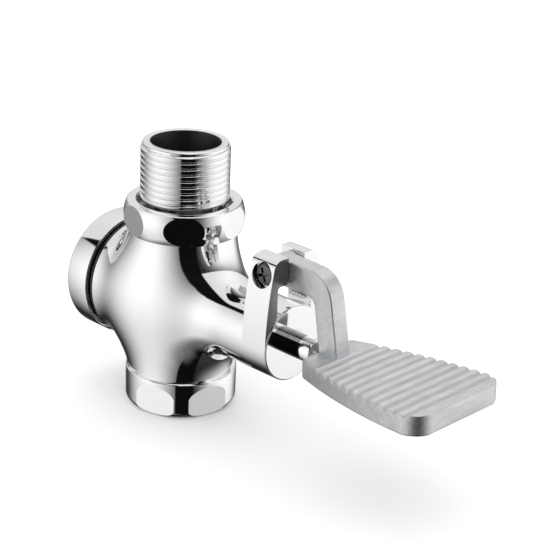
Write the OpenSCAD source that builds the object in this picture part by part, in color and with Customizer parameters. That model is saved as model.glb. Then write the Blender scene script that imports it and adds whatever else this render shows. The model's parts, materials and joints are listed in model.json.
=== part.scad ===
// Foot pedal flush valve: water enters by the threaded nipple on top and leaves by the pipe socket below.
// Stepping on the pedal pushes the rod inward, the rod opens the relief valve in the piston, and the
// piston then lifts off its seat until the chamber behind it has filled again.
// Sizes are in millimetres. The part stands on its outlet nut: the origin is the middle of the outlet
// mouth, +Z is up along the water way and +X points along the push rod to the pedal.
// Heights in the pieces below are counted from the rod axis and lifted into place at the end.

/* [Body] */
// Radius of the upper and lower necks
neck_r = 19.9; // [19.5:0.1:20.2]
// Radius of the curve that widens each neck into the belly
neck_flare_r = 26; // [22:1:32]
// How far the ball where the four arms meet stands out beyond the barrel
belly_over = 1.4; // [0.8:0.1:2.2]
// Radius of the barrel that carries the rear cap
barrel_r = 22.9; // [22.5:0.1:23.5]
// Distance from the middle of the body to the end of that barrel
barrel_end = 26.3; // [25.5:0.1:28]
// Radius of the boss that guides the push rod
boss_r = 14.2; // [13.5:0.1:15]
// Distance from the middle of the body to the boss's end face
boss_end = 58.4; // [57.5:0.1:60]
// Radius of the curve that widens the boss into the belly
boss_flare_r = 16; // [14:1:20]
// Radius of the fillets between the boss and the necks
front_fillet_r = 13; // [11:0.5:13]
// Radius of the fillets between the barrel and the necks
rear_fillet_r = 4.4; // [4:0.1:4.4]
// Chamfer round the boss's end face
boss_chamfer = 0.6; // [0.3:0.1:1]
// Radius of the water ways
bore_r = 13; // [12:0.1:13.4]

/* [Inlet] */
// Height of the union nut's lower face above the rod axis
inlet_neck_h = 27.3; // [26.5:0.1:29]
// Length of the thread on the body inside the union nut
inlet_male_h = 5.7; // [5:0.1:7]
// Radius of the union nut's thread
union_thread_r = 18.8; // [18.6:0.1:19.1]
// Thickness of the gasket under the nipple
gasket_t = 1.5; // [1:0.1:2.5]
// Thickness of the nipple's collar
collar_t = 1.7; // [1.4:0.1:3]
// Thickness of the union nut's top wall
union_web_t = 2.6; // [2:0.1:4]
// Radius of the union nut at its two rims
union_rim_r = 21.3; // [21:0.1:21.8]
// How far the union nut bulges between its rims
union_bulge = 1.4; // [1:0.1:2]
// Width across the union nut's flats
union_af = 42.8; // [42.4:0.1:43.6]
// Outer radius of the inlet thread, G1
inlet_thread_r = 16.62; // [16.5:0.01:16.7]
// Pitch of the inlet thread
inlet_pitch = 2.309; // [2.2:0.001:2.4]
// Number of turns of the inlet thread
inlet_turns = 9; // [5:1:10]
// Depth of the inlet thread
inlet_thread_depth = 1.4; // [1:0.1:1.5]
// Length of the plain neck between union nut and inlet thread
nipple_neck_h = 0.391; // [0.3:0.001:4]
// Length of the plain tip above the inlet thread
nipple_tip_h = 1.1; // [0.8:0.1:2]
// Radius of the bore through the nipple
nipple_bore_r = 12.8; // [11:0.1:13]
// Clearance round the nipple's neck in the union nut's hole
union_slip = 2.3; // [2:0.1:2.4]

/* [Outlet] */
// Distance from the rod axis down to the outlet nut's upper face
outlet_neck_h = 27.9; // [27:0.1:29]
// Length of the thread on the body inside the outlet nut
outlet_male_h = 6.6; // [6:0.1:8]
// Height of the rubber ring that seals the flush pipe
pipe_seal_h = 3.7; // [3:0.1:5]
// Thickness of the washer below that ring
pipe_washer_t = 1.1; // [0.8:0.1:2]
// Thickness of the outlet nut's bottom wall
outlet_web_t = 3; // [2.5:0.1:4]
// Radius of the outlet nut
outlet_nut_r = 21.3; // [21.1:0.1:22]
// Radius of the outlet nut's thread
outlet_thread_r = 18.8; // [18.6:0.1:19]
// Distance from the outlet nut's axis to each flat
outlet_flat_d = 19.5; // [19.3:0.1:20]
// Radius of the flush pipe
pipe_r = 16; // [15.8:0.1:16.2]
// Clearance round the flush pipe
pipe_gap = 0.2; // [0.1:0.05:0.3]
// How far the flush pipe goes into the body
pipe_socket_h = 4; // [3:0.1:6]

/* [Rear cap] */
// How far the rear cap stands out beyond the barrel
cap_over = 1; // [0.6:0.1:1.6]
// Length of the rear cap
cap_l = 10.9; // [10:0.1:13]
// Thickness of the rear cap's end wall
cap_wall = 3; // [2:0.1:4]
// Thickness of the rear cap's round wall outside its thread
cap_shell_t = 2.3; // [2:0.1:2.6]
// Width of the groove between the body and the rear cap
groove_w = 2.4; // [2.2:0.1:3]
// Depth of that groove below the barrel
groove_depth = 2; // [1.9:0.1:2.4]
// Thickness of the sealing ring in the groove
groove_ring_d = 1.5; // [1:0.1:1.8]
// Thickness of the gasket between the body's rear end and the cap
cap_gasket_t = 0.8; // [0.5:0.1:1.5]

/* [Seat] */
// Distance from the middle of the body to the wall that holds the seat
wall_x = 2; // [1:0.1:3]
// Thickness of that wall
wall_t = 4; // [3:0.1:5]
// Thickness of the shelves above and below the seat wall
shelf_t = 4; // [3:0.1:4.5]
// Radius of the hole through the seat ring
seat_hole_r = 9.5; // [8.5:0.1:10]
// Radius of the seat ring where it is screwed into the wall
seat_thread_r = 12.4; // [11.8:0.1:12.8]
// Radius of the seat ring's flange
seat_flange_r = 14; // [13.5:0.1:15]
// Thickness of that flange
seat_flange_t = 0.8; // [0.6:0.1:1.5]
// Radius of the chamber behind the boss, where the water turns down
turn_r = 12; // [11:0.1:12.4]
// Length of that chamber
turn_l = 16; // [14:0.5:17]

/* [Piston] */
// Thickness of the barrel's wall round the piston's cylinder
barrel_wall = 5.7; // [5.4:0.1:6]
// Radius of the piston's nose
nose_r = 11.5; // [11:0.1:12.5]
// Length of the piston's nose
nose_l = 13.9; // [13:0.1:16]
// Thickness of the piston's head
head_t = 5; // [4:0.1:6]
// Radius of the hub that holds the cup seal
hub_r = 8; // [7.8:0.1:8.6]
// Length of that hub
hub_l = 3; // [2.9:0.1:4]
// Thickness of the cup seal's flat part
cup_t = 1.2; // [1:0.1:1.6]
// Length of the cup seal's lip
cup_lip_l = 4; // [3:0.1:5]
// Thickness of the plate that clamps the cup seal
clamp_t = 1.5; // [1:0.1:1.6]
// How far the clamping plate stays inside the cylinder's wall
clamp_in = 2.7; // [2.2:0.1:4]
// Thickness of the rubber washer on the nose
seat_washer_t = 2; // [1.5:0.1:3]
// Thickness of the disc that holds the rubber washer
holder_t = 2; // [1.5:0.1:3]
// Radius of the holder's threaded stub
holder_stub_r = 5.5; // [5:0.1:6]
// Length of the holder's threaded stub
holder_stub_l = 4; // [3:0.1:5]

/* [Relief valve] */
// Radius of the relief valve's stem
stem_r = 2.5; // [2:0.1:2.8]
// Free space round the stem in the piston
stem_space = 0.7; // [0.5:0.1:1]
// Radius of the recess in the piston for the relief valve
recess_r = 6.5; // [6.2:0.1:6.8]
// Depth of that recess
recess_l = 11; // [10:0.1:12]
// Thickness of the relief valve's head
relief_head_t = 1.5; // [1:0.1:2]
// Radius of the relief valve's head
relief_head_r = 5.2; // [4.8:0.1:5.6]
// Thickness of the rubber washer under that head
relief_washer_t = 1.5; // [1:0.1:2]
// Thickness of the plate that holds the relief valve's spring
relief_plate_t = 1.5; // [1:0.1:2]
// How far the stem reaches past the holder into the turn chamber
stem_reach = 11.4; // [10:0.1:12]
// Radius of the refill jet
jet_r = 1.5; // [1.2:0.1:1.8]
// Radius of the hole in the refill jet
jet_hole_r = 0.4; // [0.3:0.1:0.6]

/* [Push rod] */
// Radius of the push rod where it leaves the boss
rod_r = 4.6; // [4.2:0.1:4.8]
// How far the push rod stands out of the boss
rod_out = 11.6; // [7:0.1:12]
// Radius of the push rod's inner part
rod_inner_r = 3; // [2.8:0.1:3.4]
// Radius of the collar on the push rod
rod_collar_r = 7.5; // [7:0.1:8]
// Thickness of that collar
rod_collar_t = 2; // [1.5:0.1:3]
// Radius of the bore in the boss
boss_bore_r = 9; // [8.7:0.1:9.5]
// Thickness of the boss's front wall
front_t = 8; // [7:0.1:9]
// Wall of the bush in the front wall
bush_wall = 0.55; // [0.4:0.05:0.8]
// Thickness of the bush's flange
bush_flange_t = 1.5; // [1:0.1:2]
// Length of the gland
gland_l = 10; // [9:0.1:11]
// Thickness of the clip that holds the gland
clip_t = 1.2; // [1:0.1:1.6]
// Depth of the clip's groove
clip_depth = 0.7; // [0.5:0.1:1]
// Distance from the turn chamber to the clip
clip_set = 0.8; // [0.6:0.1:1.5]
// Thickness of the gland's two rubber rings
gland_ring_d = 1.5; // [1.2:0.1:1.7]

/* [Fork and pivot] */
// Length of the ears along the rod
ear_l = 11.8; // [11:0.1:13]
// Height of the ears above the rod axis
ear_h = 33.4; // [33:0.1:35]
// Radius of the large curve on the ears' outer faces
ear_curve_r = 150; // [120:5:200]
// Rounding of the ears' upper outer corners
ear_round = 4; // [3:0.1:5]
// Half the width of the slot between the ears
slot_half = 8.7; // [8.2:0.1:9.2]
// Height of the lugs' lower faces above the rod axis
lug_z = 23.4; // [22.5:0.1:24]
// Side clearance of the arm between the lugs
lug_gap = 0.3; // [0.2:0.05:0.4]
// Height of the pivot above the rod axis
pivot_z = 27.2; // [27:0.1:28]
// Distance from the boss's end face back to the pivot
pivot_back = 5.8; // [5.4:0.1:6.2]
// Radius of the pivot screw's shank
pivot_r = 3; // [2.5:0.1:3.2]
// Radius of the pivot screw's head
screw_head_r = 4.5; // [4.2:0.1:4.8]
// Thickness of the pivot screw's head
screw_head_t = 2.2; // [1.8:0.1:2.6]
// Distance from the middle to the seat of the screw's head
screw_seat = 9.2; // [8.8:0.1:9.4]
// Wall of the bush round the pivot screw
pivot_bush_wall = 0.9; // [0.7:0.1:1]

/* [Pedal] */
// Width of the arm
arm_w = 7.4; // [6.4:0.1:7.8]
// Radius of the arm's round end at the pivot
arm_hub_r = 5.4; // [5.2:0.1:5.6]
// Distance from the pivot to the arm's bend
arm_reach = 16.3; // [15:0.1:19]
// Height of the arm's top face above the pivot, at the hub
arm_top = 5.8; // [5.6:0.1:6]
// Fall of the arm's top face from the hub to the bend
arm_fall = 1.3; // [1:0.1:2]
// Depth of the arm between its top and bottom faces, at the bend
arm_d = 9.8; // [9:0.1:10.5]
// Thickness of the arm's leg, at the bend
leg_d = 11.7; // [9:0.1:12.5]
// Outer radius of the arm's bend
bend_r = 11; // [7:0.05:12]
// Inner radius of the arm's bend
bend_inner_r = 3.9; // [3:0.1:5]
// Lean of the arm's leg from the vertical, in degrees
leg_lean = 11.5; // [9:0.5:14]
// Rise of the tread towards its outer end, in degrees
tread_tilt = 2.1; // [0:0.1:4]
// Distance from the vertical water way to the tread's inner end
tread_x = 74; // [73.4:0.1:75]
// Height of the tread's top face above the rod axis, at its inner end
tread_z = 2.7; // [2:0.1:3]
// Length of the tread
tread_l = 60.5; // [56:0.5:62]
// Half the width of the tread at its outer end
tread_half = 23.4; // [22:0.1:25]
// Half the width of the tread at its inner end
tread_inner_half = 12.6; // [11.5:0.1:14]
// Thickness of the tread
tread_t = 6.8; // [5.5:0.1:7.5]
// Rounding of the tread's outer corners
tread_corner = 8; // [4:0.5:9]
// Distance from the tread's inner end to its first groove
groove_start = 10.3; // [9.5:0.1:11]
// Distance from one rib to the next
rib_pitch = 4.4; // [4.2:0.1:4.6]
// Number of ribs
rib_count = 10; // [6:1:10]
// Radius of each rib's crest
rib_r = 2.35; // [2.3:0.05:2.6]
// Radius of the striker that meets the push rod
striker_r = 1.9; // [1.6:0.1:2]
// Distance from the rod axis down to the striker's axis
striker_drop = 1.7; // [1.5:0.1:1.9]

/* [Springs] */
// Wire thickness of the piston's spring
piston_wire = 1.3; // [1:0.1:1.6]
// Curls of the piston's spring
piston_curls = 5; // [3:1:5]
// Radius of the piston's spring, to the middle of the wire
piston_spring_r = 10.5; // [10:0.1:12]
// Wire thickness of the relief valve's spring
relief_wire = 0.5; // [0.4:0.1:0.6]
// Curls of the relief valve's spring
relief_curls = 4; // [3:1:4]
// Radius of the relief valve's spring, to the middle of the wire
relief_spring_r = 3.4; // [3:0.1:4]
// Wire thickness of the push rod's spring
rod_wire = 0.9; // [0.7:0.1:1.1]
// Curls of the push rod's spring
rod_curls = 6; // [4:1:7]
// Radius of the push rod's spring, to the middle of the wire
rod_spring_r = 5.9; // [5.5:0.1:6.4]

/* [Clearances] */
// Gap between pieces that move apart
move_gap = 0.3; // [0.2:0.05:0.4]
// Running clearance of a pin or rod in its hole
run_gap = 0.05; // [0.02:0.01:0.1]
// Gap between a screwed piece and its thread
thread_gap = 0.2; // [0.1:0.05:0.3]

/* [Hidden] */
$fn = 64;
// A cutting shape reaches this far past the face that it cuts
past = 1;
// Heights above the rod axis
outlet_drop = outlet_neck_h + outlet_male_h + pipe_seal_h + pipe_washer_t + outlet_web_t;
body_top_z = inlet_neck_h + inlet_male_h;
collar_z = body_top_z + gasket_t;
union_web_z = collar_z + collar_t;
union_top_z = union_web_z + union_web_t;
inlet_thread_z = union_top_z + nipple_neck_h;
inlet_tip_z = inlet_thread_z + inlet_turns * inlet_pitch;
inlet_top_z = inlet_tip_z + nipple_tip_h;
body_foot_z = -outlet_neck_h - outlet_male_h;
pipe_washer_z = body_foot_z - pipe_seal_h;
outlet_web_z = pipe_washer_z - pipe_washer_t;
// Radii that follow
union_male_r = union_thread_r - thread_gap;
outlet_male_r = outlet_thread_r - thread_gap;
belly_r = barrel_r + belly_over;
groove_r = barrel_r - groove_depth;
cap_r = barrel_r + cap_over;
cap_thread_r = cap_r - cap_shell_t;
cap_male_r = cap_thread_r - thread_gap;
cylinder_r = barrel_r - barrel_wall;
clamp_r = cylinder_r - clamp_in;
nipple_neck_r = inlet_thread_r - inlet_thread_depth;
union_hole_r = nipple_neck_r + union_slip;
nipple_collar_r = union_male_r - 0.1;
pipe_hole_r = pipe_r + pipe_gap;
cup_lip_r = cylinder_r - 2 * run_gap;
head_r = cylinder_r - 0.5;
stem_hole_r = stem_r + stem_space;
bush_r = rod_r + run_gap + bush_wall;
pivot_bush_r = pivot_r + run_gap + pivot_bush_wall;
// Places along the rod axis, from the middle of the body
cap_rim_x = -barrel_end - groove_w;
cap_end_x = cap_rim_x - cap_l;
cap_inner_x = cap_end_x + cap_wall;
body_rear_x = cap_inner_x + cap_gasket_t;
seat_face_x = wall_x - seat_flange_t;
washer_face_x = seat_face_x - move_gap;
nose_x = washer_face_x - seat_washer_t;
head_x = nose_x - nose_l;
cup_x = head_x - head_t;
clamp_x = cup_x - cup_t;
clamp_end_x = clamp_x - clamp_t;
hub_x = cup_x - hub_l;
recess_floor_x = hub_x + recess_l;
relief_washer_x = recess_floor_x - move_gap - relief_washer_t;
relief_head_x = relief_washer_x - relief_head_t;
relief_plate_x = hub_x + relief_plate_t;
holder_end_x = washer_face_x + holder_t;
stem_end_x = holder_end_x + stem_reach;
turn_x = wall_x + wall_t;
boss_bore_x = turn_x + turn_l;
clip_x = boss_bore_x + clip_set;
gland_x = clip_x + clip_t;
gland_end_x = gland_x + gland_l;
gland_ring_x = gland_x + gland_l / 2;
front_x = boss_end - front_t;
bush_flange_x = front_x - bush_flange_t;
rod_collar_x = bush_flange_x - move_gap - rod_collar_t;
rod_start_x = stem_end_x + move_gap;
rod_end_x = boss_end + rod_out;
// The fork and the pedal
ear_x = boss_end - ear_l;
pivot_x = boss_end - pivot_back;
lug_half = arm_w / 2 + lug_gap;
ear_corner_y = 7.2;
striker_tip_x = rod_end_x + move_gap;
rib_depth = rib_r - sqrt(rib_r * rib_r - rib_pitch * rib_pitch / 4);
rib_floor = rib_depth + 0.01;
side_rise = tread_half - tread_inner_half;
side_r = (tread_l * tread_l + side_rise * side_rise) / (2 * side_rise);

// Shared shapes

// Lifts a piece from the rod axis to its height above the outlet face
module lifted() {
  translate([0, 0, outlet_drop])
    children();
}

// Lays a shape made along Z on the rod axis, with its foot at x
module along_x(x) {
  translate([x, 0, 0])
    rotate([0, 90, 0])
      children();
}

// A ring on the rod axis from x0 to x1
module ring_x(x0, x1, outer, inner) {
  along_x(x0)
    difference() {
      cylinder(h = x1 - x0, r = outer);
      translate([0, 0, -past])
        cylinder(h = x1 - x0 + 2 * past, r = inner);
    }
}

// A round bar on the rod axis from x0 to x1
module bar_x(x0, x1, radius) {
  along_x(x0)
    cylinder(h = x1 - x0, r = radius);
}

// A ring on the water way from z0 up to z1
module ring_z(z0, z1, outer, inner) {
  translate([0, 0, z0])
    difference() {
      cylinder(h = z1 - z0, r = outer);
      translate([0, 0, -past])
        cylinder(h = z1 - z0 + 2 * past, r = inner);
    }
}

// A round bar on the water way from z0 up to z1
module bar_z(z0, z1, radius) {
  translate([0, 0, z0])
    cylinder(h = z1 - z0, r = radius);
}

// Half outline of an arm that widens along a curve until it runs smoothly into the belly
module flared_half(narrow, tall, curve) {
  start = sqrt(pow(belly_r + curve, 2) - pow(narrow + curve, 2));
  share = belly_r / (belly_r + curve);
  difference() {
    union() {
      square([narrow, tall]);
      square([share * (narrow + curve), start]);
    }
    translate([narrow + curve, start])
      circle(curve);
  }
}

// A quarter bend that fills the corner between an upright arm and a level arm with a round fillet
module corner_fillet(side, up, upright_r, level_r, fillet) {
  sink = 0.3;
  tube = 11;
  translate([side * (upright_r + fillet - sink), 0, up * (level_r + fillet - sink)])
    rotate([90, 0, 0])
      rotate([0, 0, side > 0 ? (up > 0 ? 180 : 90) : (up > 0 ? 270 : 0)])
        rotate_extrude(angle = 90)
          translate([fillet + tube, 0])
            circle(tube);
}

// A rubber ring of round section, on the rod axis
module round_ring_x(x, inner, section) {
  along_x(x)
    rotate_extrude()
      translate([inner + section / 2, 0])
        circle(section / 2);
}

// Points of an arc from angle a0 to a1, in steps that are counted by steps
function arc(cx, cy, radius, a0, a1, steps) =
  [for (i = [0 : steps]) let (a = a0 + (a1 - a0) * i / steps) [cx + radius * cos(a), cy + radius * sin(a)]];

// A coil spring: its wire follows a helix along X, and its end curls lie close

wire_sides = 6;
rings_per_curl = 8;

// Distance along the spring at turn t, with slow ends so that the last curls close up
function spring_x(t, curls, travel) =
  let (u = t / curls)
  travel * (u - sin(360 * u) / (2 * PI) * 0.35);

function spring_centre(t, curls, travel, radius) =
  [spring_x(t, curls, travel), radius * cos(360 * t), radius * sin(360 * t)];

// Ring of points round the wire at turn t
function spring_ring(t, curls, travel, radius, wire) =
  [for (s = [0 : wire_sides - 1])
    let (a = 360 * s / wire_sides, out = radius + wire / 2 * cos(a))
    [spring_x(t, curls, travel) + wire / 2 * sin(a), out * cos(360 * t), out * sin(360 * t)]];

// Least gap between neighbouring curls, measured on the centre points
function spring_gap(curls, travel, radius, wire) =
  let (steps = curls * rings_per_curl)
  min([for (i = [0 : steps], j = [i + rings_per_curl / 2 : 1 : steps])
    norm(spring_centre(j / rings_per_curl, curls, travel, radius)
      - spring_centre(i / rings_per_curl, curls, travel, radius)) - wire]);

module coil_spring(x0, x1, curls, radius, wire) {
  travel = x1 - x0 - wire;
  steps = curls * rings_per_curl;
  rings = [for (i = [0 : steps]) each spring_ring(i / rings_per_curl, curls, travel, radius, wire)];
  sides = [for (i = [0 : steps - 1], s = [0 : wire_sides - 1])
    let (a = i * wire_sides + s, b = i * wire_sides + (s + 1) % wire_sides)
    [a, b, b + wire_sides, a + wire_sides]];
  first_end = [for (s = [wire_sides - 1 : -1 : 0]) s];
  last_end = [for (s = [0 : wire_sides - 1]) steps * wire_sides + s];
  echo(least_gap_between_curls = spring_gap(curls, travel, radius, wire));
  translate([x0 + wire / 2, 0, 0])
    polyhedron(points = rings, faces = concat([first_end, last_end], sides));
}

// Body

// Half outline of the boss, with the chamfer at its end
module boss_outline() {
  difference() {
    flared_half(boss_r, boss_end, boss_flare_r);
    polygon([
      [boss_r - boss_chamfer, boss_end],
      [boss_r + past, boss_end],
      [boss_r + past, boss_end - boss_chamfer - past]
    ]);
  }
}

// Outline of both ears and what is between them, across the rod
module ear_outline() {
  intersection_for (side = [-1, 1])
    translate([side * (boss_r - ear_curve_r), 0])
      circle(ear_curve_r, $fn = 128);
}

module ear_top() {
  translate([-ear_corner_y, 0])
    square([2 * ear_corner_y, ear_h]);
  translate([-boss_r, 0])
    square([2 * boss_r, ear_h - ear_round]);
  for (side = [-1, 1])
    translate([side * ear_corner_y, ear_h - ear_round])
      circle(ear_round);
}

// The two ears of the fork, with the slot below and the lugs above
module ears() {
  translate([ear_x, 0, 0])
    rotate([90, 0, 90])
      linear_extrude(ear_l)
        difference() {
          intersection() {
            ear_outline();
            ear_top();
          }
          translate([-slot_half, -past])
            square([2 * slot_half, lug_z + past]);
          translate([-lug_half, 0])
            square([2 * lug_half, ear_h + past]);
        }
}

module body_outside() {
  rotate_extrude()
    flared_half(neck_r, inlet_neck_h, neck_flare_r);
  mirror([0, 0, 1])
    rotate_extrude()
      flared_half(neck_r, outlet_neck_h, neck_flare_r);
  sphere(belly_r);
  for (up = [-1, 1]) {
    corner_fillet(1, up, neck_r, boss_r, front_fillet_r);
    corner_fillet(-1, up, neck_r, barrel_r, rear_fillet_r);
  }
  bar_x(-barrel_end, 0, barrel_r);
  bar_x(cap_rim_x, -barrel_end + past, groove_r);
  bar_x(body_rear_x, cap_rim_x, cap_male_r);
  along_x(0)
    rotate_extrude()
      boss_outline();
  bar_z(inlet_neck_h - past, body_top_z, union_male_r);
  bar_z(body_foot_z, past - outlet_neck_h, outlet_male_r);
  ears();
}

// The part of an upright passage on one side of the wall that holds the seat
module beside_wall(side, x, z0, z1, radius) {
  intersection() {
    translate([x, 0, 0])
      bar_z(z0, z1, radius);
    translate([side > 0 ? turn_x : wall_x - 2 * belly_r, -belly_r, z0])
      cube([2 * belly_r, 2 * belly_r, z1 - z0]);
  }
}

module body_inside() {
  bar_z(turn_r + shelf_t, body_top_z + past, bore_r);
  beside_wall(-1, 0, 0, turn_r + shelf_t + past, bore_r);
  bar_x(body_rear_x - past, wall_x, cylinder_r);
  bar_x(wall_x - past, turn_x + past, seat_thread_r + run_gap);
  bar_x(turn_x, boss_bore_x, turn_r);
  bar_z(body_foot_z - past, -cylinder_r - shelf_t, bore_r);
  beside_wall(1, turn_x, -cylinder_r - shelf_t - 3, 0, turn_r - 1);
  bar_z(body_foot_z - past, body_foot_z + pipe_socket_h, pipe_hole_r);
  bar_x(boss_bore_x - past, front_x, boss_bore_r);
  bar_x(clip_x, gland_x, boss_bore_r + clip_depth);
  bar_x(front_x - past, boss_end + past, bush_r + run_gap);
}

// Holes across both ears for the pivot screw, with the sunk seat for its head
module pivot_holes() {
  translate([pivot_x, 0, pivot_z])
    rotate([90, 0, 0]) {
      translate([0, 0, -boss_r - past])
        cylinder(h = 2 * (boss_r + past), r = pivot_r + run_gap);
      translate([0, 0, screw_seat])
        cylinder(h = boss_r, r = screw_head_r + thread_gap);
    }
}

module valve_body() {
  color("gainsboro")
    lifted()
      difference() {
        body_outside();
        body_inside();
        pivot_holes();
      }
}

// Inlet

// Half outline of the inlet nipple, with one ring for each turn of its thread
module nipple_outline() {
  turns = [for (i = [0 : inlet_turns - 1]) each [
    [nipple_neck_r, inlet_thread_z + (i + 0.05) * inlet_pitch],
    [inlet_thread_r, inlet_thread_z + (i + 0.42) * inlet_pitch],
    [inlet_thread_r, inlet_thread_z + (i + 0.58) * inlet_pitch],
    [nipple_neck_r, inlet_thread_z + (i + 0.95) * inlet_pitch]
  ]];
  polygon(concat(
    [[nipple_bore_r, collar_z], [nipple_collar_r, collar_z],
     [nipple_collar_r, union_web_z], [nipple_neck_r, union_web_z]],
    turns,
    [[nipple_neck_r + 0.6, inlet_tip_z], [nipple_neck_r + 0.3, inlet_top_z - 0.4],
     [nipple_neck_r - 0.1, inlet_top_z], [nipple_bore_r + 0.3, inlet_top_z],
     [nipple_bore_r, inlet_top_z - 0.3]]
  ));
}

module inlet_nipple() {
  color("gainsboro")
    lifted()
      rotate_extrude()
        nipple_outline();
}

// The union nut is turned to a barrel and has six flats
module inlet_union_nut() {
  nut_h = union_top_z - inlet_neck_h;
  barrel_curve = (nut_h * nut_h / 4 + union_bulge * union_bulge) / (2 * union_bulge);
  color("silver")
    lifted()
      difference() {
        intersection() {
          translate([0, 0, inlet_neck_h + nut_h / 2])
            rotate_extrude()
              intersection() {
                translate([union_rim_r + union_bulge - barrel_curve, 0])
                  circle(barrel_curve);
                translate([0, -nut_h / 2])
                  square([union_rim_r + union_bulge, nut_h]);
              }
          translate([0, 0, inlet_neck_h - past])
            rotate([0, 0, -13])
              cylinder(h = nut_h + 2 * past, r = union_af / 2 / cos(30), $fn = 6);
        }
        bar_z(inlet_neck_h - past, union_web_z, union_thread_r);
        bar_z(union_web_z - past, union_top_z + past, union_hole_r);
      }
}

module inlet_gasket() {
  color("dimgray")
    lifted()
      ring_z(body_top_z, collar_z, nipple_collar_r, bore_r);
}

// Outlet

// One flat of the outlet nut: an upright face with round upper corners
module outlet_flat() {
  half = sqrt(outlet_nut_r * outlet_nut_r - outlet_flat_d * outlet_flat_d) + 0.2;
  round = 5.5;
  top = -outlet_neck_h - 1.6;
  translate([outlet_flat_d, 0, 0])
    rotate([90, 0, 90])
      linear_extrude(outlet_nut_r - outlet_flat_d + past) {
        translate([-half, -outlet_drop - past])
          square([2 * half, outlet_drop + past + top - round]);
        translate([round - half, top - round])
          square([2 * (half - round), round]);
        for (side = [-1, 1])
          translate([side * (half - round), top - round])
            circle(round);
      }
}

module outlet_nut() {
  foot_round = 3;
  color("silver")
    lifted()
      difference() {
        translate([0, 0, -outlet_drop])
          rotate_extrude() {
            square([outlet_nut_r - foot_round + 1.1, outlet_drop - outlet_neck_h]);
            translate([0, foot_round])
              square([outlet_nut_r, outlet_drop - outlet_neck_h - foot_round - 0.8]);
            translate([outlet_nut_r - foot_round, foot_round])
              intersection() {
                circle(foot_round);
                translate([-foot_round, 0.4 - foot_round])
                  square([2 * foot_round, foot_round]);
              }
          }
        for (turn = [-72, -12, 108, 168])
          rotate([0, 0, turn])
            outlet_flat();
        bar_z(outlet_web_z, past - outlet_neck_h, outlet_thread_r);
        bar_z(-outlet_drop - past, outlet_web_z + past, pipe_hole_r);
      }
}

module outlet_seal_ring() {
  color("dimgray")
    lifted()
      ring_z(pipe_washer_z, body_foot_z, outlet_male_r - 0.1, pipe_hole_r);
}

module outlet_washer() {
  color("goldenrod")
    lifted()
      ring_z(outlet_web_z, pipe_washer_z, outlet_male_r - 0.1, pipe_hole_r);
}

// Rear cap

module rear_cap() {
  edge = 0.8;
  spigot_r = (piston_spring_r - piston_wire / 2) * cos(180 / rings_per_curl) - 0.3;
  color("gainsboro")
    lifted()
      along_x(cap_end_x)
        rotate_extrude()
          polygon([
            [0, 0], [cap_r - edge, 0], [cap_r, edge], [cap_r, cap_l - 0.3], [cap_r - 0.3, cap_l],
            [cap_thread_r, cap_l], [cap_thread_r, cap_wall], [spigot_r, cap_wall],
            [spigot_r, cap_wall + 2], [spigot_r - 2, cap_wall + 2], [spigot_r - 2, cap_wall], [0, cap_wall]
          ]);
}

module cap_gasket() {
  color("dimgray")
    lifted()
      ring_x(cap_inner_x, body_rear_x, cap_male_r, cylinder_r);
}

module cap_groove_ring() {
  color("black")
    lifted()
      round_ring_x(cap_rim_x + groove_w / 2, groove_r, groove_ring_d);
}

// Seat and piston

module seat_ring() {
  color("goldenrod")
    lifted() {
      ring_x(seat_face_x, wall_x, seat_flange_r, seat_hole_r);
      ring_x(wall_x, turn_x, seat_thread_r, seat_hole_r);
    }
}

module piston() {
  color("goldenrod")
    lifted()
      difference() {
        union() {
          bar_x(head_x, nose_x, nose_r);
          bar_x(cup_x, head_x, head_r);
          bar_x(hub_x, cup_x, hub_r);
        }
        bar_x(hub_x - past, recess_floor_x, recess_r);
        bar_x(recess_floor_x - past, nose_x + past, stem_hole_r);
        bar_x(nose_x - holder_stub_l, nose_x + past, holder_stub_r + run_gap);
        translate([head_x + jet_r, 0, recess_r - past])
          cylinder(h = nose_r, r = jet_r);
      }
}

module piston_cup_seal() {
  lip_t = 1.3;
  color("dimgray")
    lifted() {
      ring_x(clamp_x, cup_x, cup_lip_r, hub_r);
      ring_x(cup_x - cup_lip_l, clamp_x, cup_lip_r, cup_lip_r - lip_t);
    }
}

module cup_clamp_plate() {
  color("goldenrod")
    lifted()
      ring_x(clamp_end_x, clamp_x, clamp_r, hub_r);
}

module seat_washer() {
  color("dimgray")
    lifted()
      ring_x(nose_x, washer_face_x, nose_r - 0.2, holder_stub_r);
}

module washer_holder() {
  color("goldenrod")
    lifted() {
      ring_x(washer_face_x, holder_end_x, seat_hole_r - 2 * move_gap, stem_hole_r);
      ring_x(nose_x - holder_stub_l, washer_face_x, holder_stub_r, stem_hole_r);
    }
}

module refill_jet() {
  color("goldenrod")
    lifted()
      translate([head_x + jet_r, 0, 0])
        ring_z(recess_r, sqrt(nose_r * nose_r - jet_r * jet_r), jet_r, jet_hole_r);
}

module piston_spring() {
  color("silver")
    lifted()
      coil_spring(cap_inner_x + run_gap, clamp_end_x - run_gap, piston_curls, piston_spring_r, piston_wire);
}

// Relief valve

module relief_stem() {
  spigot_l = 1.8;
  color("goldenrod")
    lifted() {
      bar_x(relief_head_x - spigot_l, relief_head_x, relief_spring_r - relief_wire / 2 - 0.3);
      bar_x(relief_head_x, relief_washer_x, relief_head_r);
      bar_x(relief_washer_x, stem_end_x, stem_r);
    }
}

module relief_washer() {
  color("dimgray")
    lifted()
      ring_x(relief_washer_x, relief_washer_x + relief_washer_t, relief_head_r - 0.2, stem_r);
}

module relief_spring() {
  color("silver")
    lifted()
      coil_spring(relief_plate_x + run_gap, relief_head_x - run_gap, relief_curls, relief_spring_r, relief_wire);
}

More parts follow.
